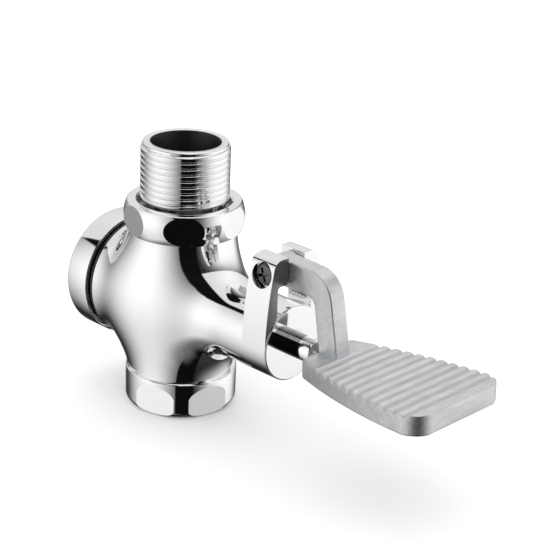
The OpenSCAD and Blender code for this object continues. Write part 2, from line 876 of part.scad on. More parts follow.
// The plate behind the relief valve's spring, with holes that let the water through
module relief_spring_plate() {
  hole_r = 1.1;
  color("goldenrod")
    lifted()
      difference() {
        bar_x(hub_x, relief_plate_x, recess_r);
        for (i = [0 : 4])
          rotate([72 * i, 0, 0])
            translate([0, 0, recess_r - 1.6 - hole_r])
              bar_x(hub_x - past, relief_plate_x + past, hole_r);
      }
}

// Push rod and its gland

module push_rod() {
  tip = 0.5;
  color("gainsboro")
    lifted()
      along_x(rod_start_x)
        rotate_extrude()
          polygon([
            [0, 0], [rod_inner_r - tip, 0], [rod_inner_r, tip],
            [rod_inner_r, rod_collar_x - rod_start_x], [rod_collar_r, rod_collar_x - rod_start_x],
            [rod_collar_r, rod_collar_x + rod_collar_t - rod_start_x],
            [rod_r, rod_collar_x + rod_collar_t - rod_start_x],
            [rod_r, rod_end_x - tip - rod_start_x], [rod_r - tip, rod_end_x - rod_start_x],
            [0, rod_end_x - rod_start_x]
          ]);
}

module rod_bush() {
  color("goldenrod")
    lifted() {
      ring_x(bush_flange_x, front_x, boss_bore_r - thread_gap, rod_r + run_gap);
      ring_x(front_x, boss_end, bush_r, rod_r + run_gap);
    }
}

module rod_gland() {
  slot_l = gland_ring_d + 0.4;
  inner_slot_r = rod_inner_r + run_gap + gland_ring_d + 0.05;
  color("goldenrod")
    lifted()
      difference() {
        bar_x(gland_x, gland_end_x, boss_bore_r - run_gap);
        bar_x(gland_x - past, gland_end_x + past, rod_inner_r + run_gap);
        bar_x(gland_ring_x - slot_l / 2, gland_ring_x + slot_l / 2, inner_slot_r);
        ring_x(gland_ring_x - slot_l / 2, gland_ring_x + slot_l / 2,
          boss_bore_r + past, boss_bore_r - run_gap - gland_ring_d);
      }
}

module gland_outer_ring() {
  color("black")
    lifted()
      round_ring_x(gland_ring_x, boss_bore_r - run_gap - gland_ring_d, gland_ring_d);
}

module gland_inner_ring() {
  color("black")
    lifted()
      round_ring_x(gland_ring_x, rod_inner_r + run_gap, gland_ring_d);
}

// A flat spring clip with a gap, sprung into its groove
module gland_clip() {
  gap_half = 2;
  color("silver")
    lifted()
      difference() {
        ring_x(clip_x, gland_x, boss_bore_r + clip_depth - run_gap, boss_bore_r - 2);
        translate([clip_x - past, -gap_half, 0])
          cube([clip_t + 2 * past, 2 * gap_half, boss_bore_r + 2]);
      }
}

module rod_return_spring() {
  color("silver")
    lifted()
      coil_spring(gland_end_x + run_gap, rod_collar_x - run_gap, rod_curls, rod_spring_r, rod_wire);
}

// Pivot

module pivot_screw() {
  cross_w = 1.1;
  cross_l = 5.4;
  cross_depth = 1.3;
  color("dimgray")
    lifted()
      translate([pivot_x, 0, pivot_z])
        rotate([90, 0, 0])
          difference() {
            union() {
              translate([0, 0, -screw_seat - 1.6])
                cylinder(h = 2 * screw_seat + 1.6 + past, r = pivot_r);
              translate([0, 0, screw_seat])
                cylinder(h = screw_head_t, r = screw_head_r);
            }
            for (turn = [20, 110])
              rotate([0, 0, turn])
                translate([-cross_l / 2, -cross_w / 2, screw_seat + screw_head_t - cross_depth])
                  cube([cross_l, cross_w, cross_depth + past]);
          }
}

module pivot_bush() {
  color("goldenrod")
    lifted()
      translate([pivot_x, arm_w / 2, pivot_z])
        rotate([90, 0, 0])
          difference() {
            cylinder(h = arm_w, r = pivot_bush_r);
            translate([0, 0, -past])
              cylinder(h = arm_w + 2 * past, r = pivot_r + run_gap);
          }
}

// Pedal

// Side outline of the arm from above the hub round the bend and down to the tread, from the pivot
module arm_outline() {
  slope = atan(arm_fall / (arm_reach - arm_hub_r));
  bend_z = arm_top - arm_fall - bend_r * cos(slope);
  bend_x = arm_reach - bend_r * sin(slope);
  inner_x = bend_x + bend_r - leg_d;
  foot = tread_z - pivot_z - 2;
  outer_foot_x = bend_x + bend_r / cos(leg_lean) + (bend_z - foot) * tan(leg_lean);
  inner_foot_x = tread_x - pivot_x + 0.1;
  under_z = arm_top - arm_fall - arm_d;
  polygon(concat(
    [[0, arm_hub_r], [arm_hub_r * 0.6, arm_top]],
    arc(bend_x, bend_z, bend_r, 90 - slope, leg_lean, 10),
    [[outer_foot_x, foot], [inner_foot_x, foot]],
    arc(inner_x, under_z - bend_inner_r, bend_inner_r, leg_lean, 90, 6),
    [[0, -arm_hub_r]]
  ));
}

// Plan outline of the tread: round sides that run straight at the outer end, and round outer corners
module tread_outline() {
  side_steps = 10;
  span = asin((tread_l - tread_corner) / side_r);
  start = asin(tread_l / side_r);
  upper = concat(
    arc(tread_l, tread_half - side_r, side_r, 90 + start, 90 + start - span, side_steps),
    arc(tread_l - tread_corner, tread_half - tread_corner, tread_corner, 84, 0, 7)
  );
  polygon(concat(upper, [for (i = [len(upper) - 1 : -1 : 0]) [upper[i][0], -upper[i][1]]]));
}

module tread() {
  ribs_l = (rib_count + 1) * rib_pitch;
  intersection() {
    translate([0, 0, -tread_t])
      linear_extrude(tread_t)
        tread_outline();
    union() {
      translate([-past, -tread_half - past, -tread_t - past])
        cube([tread_l + 2 * past, 2 * (tread_half + past), tread_t + past - rib_floor]);
      translate([-past, -tread_half - past, -tread_t])
        cube([groove_start - rib_pitch / 2 + past, 2 * (tread_half + past), tread_t + past]);
      translate([groove_start - rib_pitch / 2 + ribs_l, -tread_half - past, -tread_t])
        cube([tread_l, 2 * (tread_half + past), tread_t + past]);
      for (i = [-1 : rib_count])
        translate([groove_start + (i + 0.5) * rib_pitch, -tread_half - past, -rib_r])
          rotate([-90, 0, 0])
            cylinder(h = 2 * (tread_half + past), r = rib_r);
    }
  }
}

// Short peg under the leg whose round tip meets the push rod
module striker() {
  translate([0, 0, -striker_drop]) {
    bar_x(striker_tip_x + striker_r, tread_x + 3, striker_r);
    translate([striker_tip_x + striker_r, 0, 0])
      sphere(striker_r);
  }
}

module foot_pedal() {
  color("lightgray")
    lifted()
      difference() {
        union() {
          translate([pivot_x, arm_w / 2, pivot_z])
            rotate([90, 0, 0])
              linear_extrude(arm_w) {
                arm_outline();
                circle(arm_hub_r);
              }
          translate([tread_x, 0, tread_z])
            rotate([0, -tread_tilt, 0])
              tread();
          striker();
        }
        translate([pivot_x, arm_w, pivot_z])
          rotate([90, 0, 0])
            cylinder(h = 2 * arm_w, r = pivot_bush_r + run_gap);
      }
}

valve_body();
inlet_nipple();
inlet_union_nut();
inlet_gasket();
outlet_nut();
outlet_seal_ring();
outlet_washer();
rear_cap();
cap_gasket();
cap_groove_ring();
seat_ring();
piston();
piston_cup_seal();
cup_clamp_plate();
seat_washer();
washer_holder();
refill_jet();
piston_spring();
relief_stem();
relief_washer();
relief_spring();
relief_spring_plate();
rod_gland();
gland_outer_ring();
gland_inner_ring();
gland_clip();
push_rod();
rod_bush();
rod_return_spring();
pivot_screw();
pivot_bush();
foot_pedal();
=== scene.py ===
import json
import math

import bmesh
import bpy
import numpy as np
from mathutils import Matrix, Vector


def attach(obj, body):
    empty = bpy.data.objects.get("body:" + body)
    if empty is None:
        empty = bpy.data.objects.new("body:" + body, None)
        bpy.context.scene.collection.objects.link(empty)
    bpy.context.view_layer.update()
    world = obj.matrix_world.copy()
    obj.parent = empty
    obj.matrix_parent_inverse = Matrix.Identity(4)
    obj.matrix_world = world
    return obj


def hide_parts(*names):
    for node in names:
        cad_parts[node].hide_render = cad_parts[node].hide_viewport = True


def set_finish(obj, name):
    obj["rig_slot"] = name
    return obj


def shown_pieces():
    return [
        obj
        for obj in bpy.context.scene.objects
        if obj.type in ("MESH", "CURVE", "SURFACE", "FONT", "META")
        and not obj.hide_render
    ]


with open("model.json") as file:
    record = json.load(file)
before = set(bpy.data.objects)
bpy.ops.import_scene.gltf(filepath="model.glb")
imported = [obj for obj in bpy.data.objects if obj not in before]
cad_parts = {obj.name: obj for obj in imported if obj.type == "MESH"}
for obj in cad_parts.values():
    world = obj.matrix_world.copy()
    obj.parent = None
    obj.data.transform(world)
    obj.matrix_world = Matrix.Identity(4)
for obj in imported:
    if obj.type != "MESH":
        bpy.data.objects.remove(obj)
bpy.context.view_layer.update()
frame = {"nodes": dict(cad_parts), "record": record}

# Measures are in millimetres from the rod axis, which lies above the outlet's lower face
MM = 0.001
AXIS_Z = 42.3
# A radius below this is a point on the axis
CLOSE = 1e-9
# Places nearer to each other than this count as the same
NEAR = 0.05
# Steps round a turned piece, for the usual and for the finer ones
TURN_STEPS = 144
FINE_STEPS = 192

# Casting: radii of its arms, where they end and how widely they run into each other
NECK_R = 19.9
BELLY_R = 24.3
BARREL_R = 22.9
BOSS_R = 14.2
BARREL_TO_BOSS = (-14.0, 24.0)
WIDE_BLEND = 15.5
REAR_BLEND = 8.5
REAR_SHARE = (0.55, 0.97)
INLET_NECK = 27.3
OUTLET_NECK = -27.9
BARREL_END = -26.3
RIM_EDGE = 0.45
REAR_CRISP = (-21.5, -25.6)
GROOVE_END = -28.7
GROOVE_R = 20.9
EAR_X = 46.6
BOSS_END = 58.4

# Grid of the casting's distance field, and the width of the filter that softens it
MESH_STEP = 0.8
SOFTEN = 1.3


# Meshes

def put(name, mesh, body, slot, replaced=()):
    """Hangs a mesh in millimetres on its body, with its slot and the CAD nodes that it replaces."""
    mesh.transform(Matrix.Scale(MM, 4) @ Matrix.Translation((0, 0, AXIS_Z)))
    thing = bpy.data.objects.new(name, mesh)
    bpy.context.scene.collection.objects.link(thing)
    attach(thing, body)
    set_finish(thing, slot)
    if replaced:
        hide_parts(*replaced)
    return thing


def bmesh_to_mesh(work, name):
    mesh = bpy.data.meshes.new(name)
    bmesh.ops.recalc_face_normals(work, faces=work.faces)
    work.to_mesh(mesh)
    work.free()
    return mesh


def shade(mesh, sharp_angle):
    """Smooth shading, with edges sharper than this angle in degrees kept crisp."""
    mesh.polygons.foreach_set("use_smooth", [True] * len(mesh.polygons))
    work = bmesh.new()
    work.from_mesh(mesh)
    limit = math.radians(sharp_angle)
    for edge in work.edges:
        if len(edge.link_faces) == 2:
            edge.smooth = edge.calc_face_angle(0) < limit
    work.to_mesh(mesh)
    work.free()
    mesh.update()


def on_axis(axis, along, a, b):
    """The point at a distance along an axis, with its two other coordinates in order."""
    if axis == "z":
        return Vector((a, b, along))
    if axis == "x":
        return Vector((along, a, b))
    return Vector((a, along, b))


def lathe(profile, axis, steps=TURN_STEPS, closed=True):
    """Turns a list of (distance along the axis, radius) about an axis."""
    work = bmesh.new()
    rings = []
    for along, radius in profile:
        if radius < CLOSE:
            rings.append([work.verts.new(on_axis(axis, along, 0, 0))])
            continue
        rings.append([
            work.verts.new(on_axis(axis, along, radius * math.cos(a), radius * math.sin(a)))
            for a in (2 * math.pi * i / steps for i in range(steps))
        ])
    pairs = list(zip(rings, rings[1:]))
    if closed:
        pairs.append((rings[-1], rings[0]))
    for first, second in pairs:
        if len(first) == 1 and len(second) == 1:
            continue
        for i in range(steps):
            j = (i + 1) % steps
            corners = []
            for ring, k in ((first, i), (first, j), (second, j), (second, i)):
                vert = ring[k] if len(ring) > 1 else ring[0]
                if vert not in corners:
                    corners.append(vert)
            work.faces.new(corners)
    return bmesh_to_mesh(work, "turned")


def arc(cx, cy, radius, start, end, steps):
    """Points of an arc, with angles in degrees."""
    return [
        (cx + radius * math.cos(math.radians(start + (end - start) * i / steps)),
         cy + radius * math.sin(math.radians(start + (end - start) * i / steps)))
        for i in range(steps + 1)
    ]


def swapped(points):
    """The points with their two coordinates the other way round."""
    return [(b, a) for a, b in points]


def rounded(corners, radii, steps=4):
    """Points of a closed outline whose corners are rounded, each by its own radius."""
    made = []
    count = len(corners)
    for i, (corner, radius) in enumerate(zip(corners, radii)):
        here = Vector(corner)
        if radius < CLOSE:
            made.append(tuple(here))
            continue
        back = (Vector(corners[i - 1]) - here).normalized()
        ahead = (Vector(corners[(i + 1) % count]) - here).normalized()
        half = math.acos(max(-1, min(1, back.dot(ahead)))) / 2
        reach = radius / math.tan(half)
        middle = here + (back + ahead).normalized() * (radius / math.sin(half))
        start = here + back * reach - middle
        end = here + ahead * reach - middle
        turn = start.angle_signed(end)
        for s in range(steps + 1):
            angle = -turn * s / steps
            made.append((
                middle.x + start.x * math.cos(angle) - start.y * math.sin(angle),
                middle.y + start.x * math.sin(angle) + start.y * math.cos(angle)))
    return made


def prism(outline, along, start, end):
    """An outline pushed along X, Y or Z. The outline's axes are the two others in order."""
    work = bmesh.new()
    rings = []
    for level in (start, end):
        rings.append([work.verts.new(on_axis(along, level, a, b)) for a, b in outline])
    work.faces.new(rings[0])
    work.faces.new(list(reversed(rings[1])))
    count = len(outline)
    for i in range(count):
        j = (i + 1) % count
        work.faces.new((rings[0][i], rings[1][i], rings[1][j], rings[0][j]))
    return work


def bevel(work, edges, width, segments=3):
    bmesh.ops.bevel(
        work, geom=list(edges), offset=width, offset_type="OFFSET", segments=segments,
        profile=0.5, affect="EDGES", clamp_overlap=True)


def cut(mesh, *others, operation="DIFFERENCE"):
    """The mesh after exact booleans with the other meshes."""
    base = bpy.data.objects.new("cut base", mesh)
    bpy.context.scene.collection.objects.link(base)
    tools = []
    for other in others:
        tool = bpy.data.objects.new("cut tool", other)
        bpy.context.scene.collection.objects.link(tool)
        tools.append(tool)
        step = base.modifiers.new("cut", "BOOLEAN")
        step.operation = operation
        step.solver = "EXACT"
        step.object = tool
    bpy.context.view_layer.update()
    view = bpy.context.evaluated_depsgraph_get()
    made = bpy.data.meshes.new_from_object(base.evaluated_get(view))
    for thing in [base] + tools:
        bpy.data.objects.remove(thing)
    return made


def weigh(thing):
    """Shades the small rounded edges so that the large faces beside them stay even."""
    step = thing.modifiers.new("even faces", "WEIGHTED_NORMAL")
    step.mode = "FACE_AREA"
    step.weight = 60
    step.keep_sharp = True


# Body casting: the arms and their fillets as one distance field, softened and meshed

def kept(radius):
    """A radius made larger by what the softening takes away from a round surface."""
    return radius + SOFTEN ** 2 / (2 * radius)


def eased(low, high, value):
    """0 up to low, 1 from high on, with a smooth change between. low may lie above high."""
    share = np.clip((value - low) / (high - low), 0, 1)
    return share * share * (3 - 2 * share)


def casting_distance(x, y, z):
    """Distance to an upright round arm and a level one that narrows from barrel to boss.

    The two are blended widely, but less so at the rear.
    """
    plan = np.hypot(x, y)
    upright = plan - kept(NECK_R)
    narrowing = eased(*BARREL_TO_BOSS, x)
    radius = kept(BARREL_R) + (kept(BOSS_R) - kept(BARREL_R)) * narrowing
    slope = np.gradient(radius, MESH_STEP, axis=0)
    level = (np.hypot(y, z) - radius) / np.sqrt(1 + slope ** 2)
    blend = WIDE_BLEND + (REAR_BLEND - WIDE_BLEND) * eased(*REAR_SHARE, -x / np.maximum(plan, 1))
    near = np.maximum(blend - np.abs(upright - level), 0) / blend
    return np.minimum(upright, level) - near * near * blend / 4


class Field:
    """The casting's distance on a grid, softened so that every crease turns into a fillet."""

    def __init__(self):
        pad = 3 * SOFTEN
        self.low = np.array([BARREL_END - pad - 2, -BELLY_R - 2, OUTLET_NECK - pad - 2])
        high = np.array([EAR_X + pad + 2, BELLY_R + 2, INLET_NECK + pad + 2])
        self.count = np.ceil((high - self.low) / MESH_STEP).astype(int) + 1
        axes = [self.low[i] + MESH_STEP * np.arange(self.count[i]) for i in range(3)]
        x, y, z = np.meshgrid(*axes, indexing="ij")
        grid = self.softened(casting_distance(x, y, z))
        crisp = eased(*REAR_CRISP, x)
        self.grid = grid + (np.hypot(y, z) - BARREL_R - grid) * crisp
        self.slopes = np.stack(np.gradient(self.grid, MESH_STEP), axis=-1)

    def softened(self, grid):
        """The grid after a bell-shaped filter along each axis."""
        reach = int(math.ceil(3 * SOFTEN / MESH_STEP))
        weights = np.exp(-0.5 * (np.arange(-reach, reach + 1) * MESH_STEP / SOFTEN) ** 2)
        weights /= weights.sum()
        for axis in range(3):
            wide = np.pad(grid, [(reach, reach) if a == axis else (0, 0) for a in range(3)], "edge")
            total = np.zeros_like(grid)
            for i, weight in enumerate(weights):
                part = [slice(None)] * 3
                part[axis] = slice(i, i + grid.shape[axis])
                total += weight * wide[tuple(part)]
            grid = total
        return grid

    def read(self, points):
        """Distance and slope at points, blended between the grid's values."""
        place_in = np.clip((points - self.low) / MESH_STEP, 0, self.count - 1.001)
        cell = place_in.astype(int)
        share = place_in - cell
        value = np.zeros(len(points))
        slope = np.zeros((len(points), 3))
        for corner in range(8):
            step = np.array([corner & 1, corner >> 1 & 1, corner >> 2 & 1])
            weight = np.prod(np.where(step, share, 1 - share), axis=1)
            at = cell + step
            value += weight * self.grid[at[:, 0], at[:, 1], at[:, 2]]
            slope += weight[:, None] * self.slopes[at[:, 0], at[:, 1], at[:, 2]]
        return value, slope

    def surface(self):
        """Points and quads of the surface, one point for each grid cell that it crosses."""
        inside = self.grid < 0
        shape = self.count - 1
        total = np.zeros(shape, int)
        for corner in range(8):
            a, b, c = corner & 1, corner >> 1 & 1, corner >> 2 & 1
            total += inside[a:a + shape[0], b:b + shape[1], c:c + shape[2]]
        crossed = (total > 0) & (total < 8)
        number = np.full(shape, -1)
        number[crossed] = np.arange(crossed.sum())
        points = self.low + (np.argwhere(crossed) + 0.5) * MESH_STEP
        for _ in range(6):
            value, slope = self.read(points)
            points = points - (value / (slope ** 2).sum(1))[:, None] * slope
        quads = []
        for axis in range(3):
            u, v = (axis + 1) % 3, (axis + 2) % 3
            before = [slice(1, -1)] * 3
            after = [slice(1, -1)] * 3
            before[axis] = slice(0, -1)
            after[axis] = slice(1, None)
            here = inside[tuple(before)]
            there = inside[tuple(after)]
            for flips, order in ((here & ~there, (0, 1, 2, 3)), (~here & there, (3, 2, 1, 0))):
                at = np.argwhere(flips)
                at[:, u] += 1
                at[:, v] += 1
                corners = []
                for du, dv in ((-1, -1), (0, -1), (0, 0), (-1, 0)):
                    cell = at.copy()
                    cell[:, u] += du
                    cell[:, v] += dv
                    corners.append(number[cell[:, 0], cell[:, 1], cell[:, 2]])
                quads.append(np.stack([corners[k] for k in order], axis=1))
        return points, np.concatenate(quads)


def casting_shell(field):
    """The field's surface, cut off flat at the four ends of its arms."""
    points, quads = field.surface()
    work = bmesh.new()
    verts = [work.verts.new(p) for p in points]
    for quad in quads:
        work.faces.new([verts[k] for k in quad])
    cuts = (
        ((0, 0, INLET_NECK), (0, 0, 1)),
        ((0, 0, OUTLET_NECK), (0, 0, -1)),
        ((BARREL_END + RIM_EDGE, 0, 0), (-1, 0, 0)),
        ((EAR_X, 0, 0), (1, 0, 0)),
    )
    for point, normal in cuts:
        bmesh.ops.bisect_plane(
            work, geom=work.verts[:] + work.edges[:] + work.faces[:], dist=1e-5,
            plane_co=point, plane_no=normal, clear_outer=True)
    mesh = bpy.data.meshes.new("casting shell")
    work.to_mesh(mesh)
    work.free()
    mesh.polygons.foreach_set("use_smooth", [True] * len(mesh.polygons))
    return mesh


# A face of the CAD body is an inner one if all its corners lie this deep in the casting,
# or, in the fork, if it lies within this radius of the rod axis
INNER_DEPTH = 0.1
ROD_WAY_R = 9.5


def inner_ways(field):
    """The passages, threads and seats of the valve: a copy of the CAD body's inner faces."""
    source = frame["nodes"]["valve_body"].data
    work = bmesh.new()
    work.from_mesh(source)
    work.faces.ensure_lookup_table()
    centres = np.array([f.calc_center_median() for f in work.faces]) / MM - [0, 0, AXIS_Z]
    corners = [np.array(v.co) / MM - [0, 0, AXIS_Z] for f in work.faces for v in f.verts]
    firsts = np.cumsum([0] + [len(f.verts) for f in work.faces])[:-1]
    outermost = np.maximum.reduceat(field.read(np.array(corners))[0], firsts)
    across = np.hypot(centres[:, 1], centres[:, 2])
    in_fork = centres[:, 0] > EAR_X - 0.2
    rod_way = (across < ROD_WAY_R) & (centres[:, 0] < BOSS_END - NEAR)
    end_face = (np.abs(centres[:, 0] - BARREL_END) < NEAR) & (across > GROOVE_R)
    keep = np.where(in_fork, rod_way, outermost < -INNER_DEPTH) & ~end_face
    bmesh.ops.delete(work, geom=[f for f, k in zip(work.faces, keep) if not k], context="FACES")
    mesh = bpy.data.meshes.new("inner ways")
    work.to_mesh(mesh)
    work.free()
    mesh.transform(Matrix.Translation((0, 0, -AXIS_Z)) @ Matrix.Scale(1 / MM, 4))
    return mesh


def rear_rim():
    """The barrel's end face with its rounded edge."""
    rim_x = BARREL_END + RIM_EDGE
    inner_r = GROOVE_R - 0.4
    profile = (
        [(rim_x, inner_r), (rim_x, BARREL_R)]
        + arc(rim_x, BARREL_R - RIM_EDGE, RIM_EDGE, 90, 180, 5)[1:]
        + [(BARREL_END, inner_r)]
    )
    return lathe(profile, "x")


field = Field()
put("body_casting", casting_shell(field), "valve", "polished_chrome", ("valve_body",))
ways = put("body_inner_ways", inner_ways(field), "valve", "polished_chrome", ("valve_body",))
rim_mesh = rear_rim()
shade(rim_mesh, 35)
put("body_rear_rim", rim_mesh, "valve", "polished_chrome", ("valve_body",))


# Fork at the end of the boss: the two ears, the slot and the lugs as one outline across the rod

EAR_H = 33.4
EAR_CURVE = 150.0
EAR_LEAN = 0.09
EAR_ROUND = 4.0
EAR_CORNER = 7.2
SLOT_HALF = 8.7
SLOT_ROUND = 1.2
LUG_Z = 23.4
LUG_HALF = 4.0
LUG_ROUND = 0.5
FORK_EDGE = 0.7
PIVOT = (52.6, 27.2)
PIVOT_HOLE = 3.05
SCREW_SEAT = 9.2
SCREW_HOLE = 4.7
# End face of the boss: the hole for the rod's bush, and how far the face stands out of the fork
END_HOLE = 5.25
END_STEP = 0.4
END_EDGE = 0.5


def fork_outline():
    """Closed outline in (y, z).

    It runs from the foot of one ear over its top, round the slot to the other ear and back below.
    """
    centre = BOSS_R - EAR_CURVE
    top = EAR_H - EAR_ROUND
    last = math.degrees(math.asin(top / EAR_CURVE))
    outer = arc(centre, 0, EAR_CURVE, 0, last, 26)
    outer = [(y - EAR_LEAN * (z / top) ** 2, z) for y, z in outer]
    crown = arc(EAR_CORNER, top, EAR_ROUND, 4, 90, 9)
    slot_foot = math.sqrt(BOSS_R ** 2 - SLOT_HALF ** 2)
    inner = rounded(
        [(LUG_HALF, EAR_H), (LUG_HALF, LUG_Z), (SLOT_HALF, LUG_Z), (SLOT_HALF, slot_foot)],
        [0, LUG_ROUND, SLOT_ROUND, 0])
    first = math.degrees(math.atan2(slot_foot, SLOT_HALF))
    over = arc(0, 0, BOSS_R, first, 180 - first, 24)[1:-1]
    right = outer[:-1] + crown + inner
    left = [(-y, z) for y, z in reversed(right)]
    under = arc(0, 0, BOSS_R, 180, 360, 64)[1:-1]
    return right + over + left + under


def fork_edges(work):
    """The fork's edges that are rounded: not those of the round boss where it meets the casting."""
    soft = []
    for edge in work.edges:
        a, b = (v.co for v in edge.verts)
        if abs(a.x - b.x) > NEAR:
            if edge.calc_face_angle(0) > math.radians(50):
                soft.append(edge)
            continue
        on_boss = all(math.hypot(p.y, p.z) < BOSS_R + 0.12 for p in (a, b))
        if a.x > EAR_X + 1 or not on_boss:
            soft.append(edge)
    return soft


def end_disc():
    """The polished end face of the boss, with its rounded edge."""
    disc_r = BOSS_R - 0.1
    back = BOSS_END - 2
    profile = (
        [(back, END_HOLE), (back, disc_r - 0.5), (BOSS_END - END_STEP - 0.1, disc_r)]
        + swapped(arc(disc_r - END_EDGE, BOSS_END - END_EDGE, END_EDGE, 20, 90, 5))
        + [(BOSS_END, END_HOLE)]
    )
    return lathe(profile, "x", 128)


def across_bar(y0, y1, radius, steps):
    """A bar across the valve on the pivot's axis."""
    mesh = lathe([(y0, 0), (y0, radius), (y1, radius), (y1, 0)], "y", steps)
    mesh.transform(Matrix.Translation((PIVOT[0], 0, PIVOT[1])))
    return mesh


def fork():
    work = prism(fork_outline(), "x", EAR_X, BOSS_END - END_STEP)
    work.normal_update()
    bevel(work, fork_edges(work), FORK_EDGE)
    mesh = bmesh_to_mesh(work, "fork")
    rod_x0 = EAR_X - 1
    rod_x1 = BOSS_END + 1
    past_ear = BOSS_R + 1
    bores = [
        lathe([(rod_x0, 0), (rod_x0, END_HOLE), (rod_x1, END_HOLE), (rod_x1, 0)], "x", 96),
        across_bar(-past_ear, past_ear, PIVOT_HOLE, 64),
        across_bar(-past_ear, -SCREW_SEAT, SCREW_HOLE, 96),
    ]
    made = cut(mesh, *bores)
    work = bmesh.new()
    work.from_mesh(made)
    work.from_mesh(end_disc())
    return bmesh_to_mesh(work, "fork")


fork_mesh = fork()
shade(fork_mesh, 32)
fork_piece = put("body_fork", fork_mesh, "valve", "polished_chrome", ("valve_body",))
weigh(fork_piece)


# Inlet: nipple with a helical thread, and the union nut

NIPPLE_BORE = 12.8
NIPPLE_NECK = 15.22
NIPPLE_TOP = 61.07
NIPPLE_TIP = 59.97
NIPPLE_STEPS = 180
TIP_R = 15.95
RIM_OUTER = 15.25
RIM_ROUND = 0.7
FLANGE = (34.5, 36.2)
FLANGE_R = 18.5
THREAD_ROOT = 15.9
THREAD_CREST = 16.62
THREAD_FOOT = 39.19
THREAD_PITCH = 2.309
THREAD_TURNS = 9
THREAD_FLANK = 0.4
THREAD_ROWS = 18
# How much lower the thread's last turn is, and over what height it falls
LAST_DROP = 0.55
LAST_FALL = 1.2


def thread_radius(z, angle):
    """Radius of the thread at heights and angles."""
    phase = ((z - THREAD_FOOT) / THREAD_PITCH - angle / (2 * math.pi)) % 1
    ridge = 1 - np.abs(2 * phase - 1)
    height = eased(0.0, THREAD_FLANK, ridge)
    last = THREAD_FOOT + THREAD_TURNS * THREAD_PITCH
    height = height * eased(THREAD_FOOT - 0.6, THREAD_FOOT + 1.0, z)
    height = height * (1 - LAST_DROP * eased(last - LAST_FALL, last, z))
    return THREAD_ROOT + (THREAD_CREST - THREAD_ROOT) * height


def nipple_ring(work, z, radius):
    """A ring of corners round Z. The radius and the height are one value, or one for each step."""
    angles = 2 * math.pi * np.arange(NIPPLE_STEPS) / NIPPLE_STEPS
    points = np.stack(
        [radius * np.cos(angles), radius * np.sin(angles), np.broadcast_to(z, angles.shape)], axis=1)
    return [work.verts.new(p) for p in points]


def thread_rings(work, low, high):
    """Rings that rise by one pitch per turn, so that their edges follow the helix; flat at both ends."""
    share = np.arange(NIPPLE_STEPS) / NIPPLE_STEPS
    count = math.ceil((high - low) / THREAD_PITCH + 1) * THREAD_ROWS
    rings = []
    for row in range(count + 1):
        z = np.clip(low + (row / THREAD_ROWS + share - 1) * THREAD_PITCH, low, high)
        rings.append(nipple_ring(work, z, thread_radius(z, 2 * math.pi * share)))
    return rings


def nipple():
    work = bmesh.new()
    flange_foot, flange_top = FLANGE
    below = [
        (flange_foot, NIPPLE_BORE), (flange_foot, FLANGE_R),
        (flange_top, FLANGE_R), (flange_top, NIPPLE_NECK)]
    above = (
        [(NIPPLE_TIP, TIP_R)]
        + swapped(arc(RIM_OUTER, NIPPLE_TOP - RIM_ROUND, RIM_ROUND, 20, 90, 5))
        + [(NIPPLE_TOP, NIPPLE_BORE + 0.55), (NIPPLE_TOP - 0.12, NIPPLE_BORE + 0.4)]
        + [(NIPPLE_TOP - RIM_ROUND, NIPPLE_BORE)]
    )
    below = [nipple_ring(work, z, radius) for z, radius in below]
    thread = thread_rings(work, THREAD_FOOT, NIPPLE_TIP - 0.12)
    above = [nipple_ring(work, z, radius) for z, radius in above]
    plain = [thread[-1]] + above + below + [thread[0]]
    for first, second in zip(plain, plain[1:]):
        for i in range(NIPPLE_STEPS):
            j = (i + 1) % NIPPLE_STEPS
            work.faces.new((first[i], first[j], second[j], second[i]))
    for row, (lower, upper) in enumerate(zip(thread, thread[1:])):
        for i in range(NIPPLE_STEPS - 1):
            work.faces.new((lower[i], lower[i + 1], upper[i + 1], upper[i]))
        # The last corner of a ring meets the first one of the ring that lies a turn further
        if row + 1 + THREAD_ROWS < len(thread):
            next_lower = thread[row + THREAD_ROWS][0]
            next_upper = thread[row + 1 + THREAD_ROWS][0]
            work.faces.new((lower[-1], next_lower, next_upper, upper[-1]))
    bmesh.ops.remove_doubles(work, verts=work.verts, dist=1e-6)
    return bmesh_to_mesh(work, "nipple")


nipple_mesh = nipple()
shade(nipple_mesh, 50)
nipple_piece = put("nipple_threaded", nipple_mesh, "valve", "polished_chrome", ("inlet_nipple",))

UNION_FOOT = 27.3
UNION_TOP = 38.8
UNION_RIM = 21.3
UNION_BULGE = 1.4
UNION_EDGE = 0.3
UNION_FLAT = 21.4
UNION_THREAD_R = 18.8
UNION_HOLE_R = 17.52
UNION_LIP = 0.7
UNION_LIP_R = 18.2
FLATS_TURN = -13.0


def union_nut():
    half = (UNION_TOP - UNION_FOOT) / 2
    middle = (UNION_TOP + UNION_FOOT) / 2
    curve = (half * half + UNION_BULGE ** 2) / (2 * UNION_BULGE)
    tip = math.degrees(math.asin((half - 0.25) / curve))
    side = arc(UNION_RIM + UNION_BULGE - curve, 0, curve, -tip, tip, 22)
    side = [(z + middle, r) for z, r in swapped(side)]
    rim = side[-1][1] - UNION_EDGE
    profile = (
        [(UNION_FOOT, UNION_THREAD_R), (UNION_FOOT, rim)] + side
        + [(UNION_TOP, rim), (UNION_TOP, UNION_LIP_R), (UNION_TOP - UNION_LIP, UNION_HOLE_R)]
        + [(FLANGE[1], UNION_HOLE_R), (FLANGE[1], UNION_THREAD_R)]
    )
    body = lathe(profile, "z", FINE_STEPS)
    corner_r = UNION_FLAT / math.cos(math.pi / 6)
    hexagon = [
        (corner_r * math.cos(math.radians(FLATS_TURN + 60 * i)),
         corner_r * math.sin(math.radians(FLATS_TURN + 60 * i)))
        for i in range(6)
    ]
    tool = bmesh_to_mesh(prism(hexagon, "z", UNION_FOOT - 1, UNION_TOP + 1), "hexagon")
    return cut(body, tool, operation="INTERSECT")


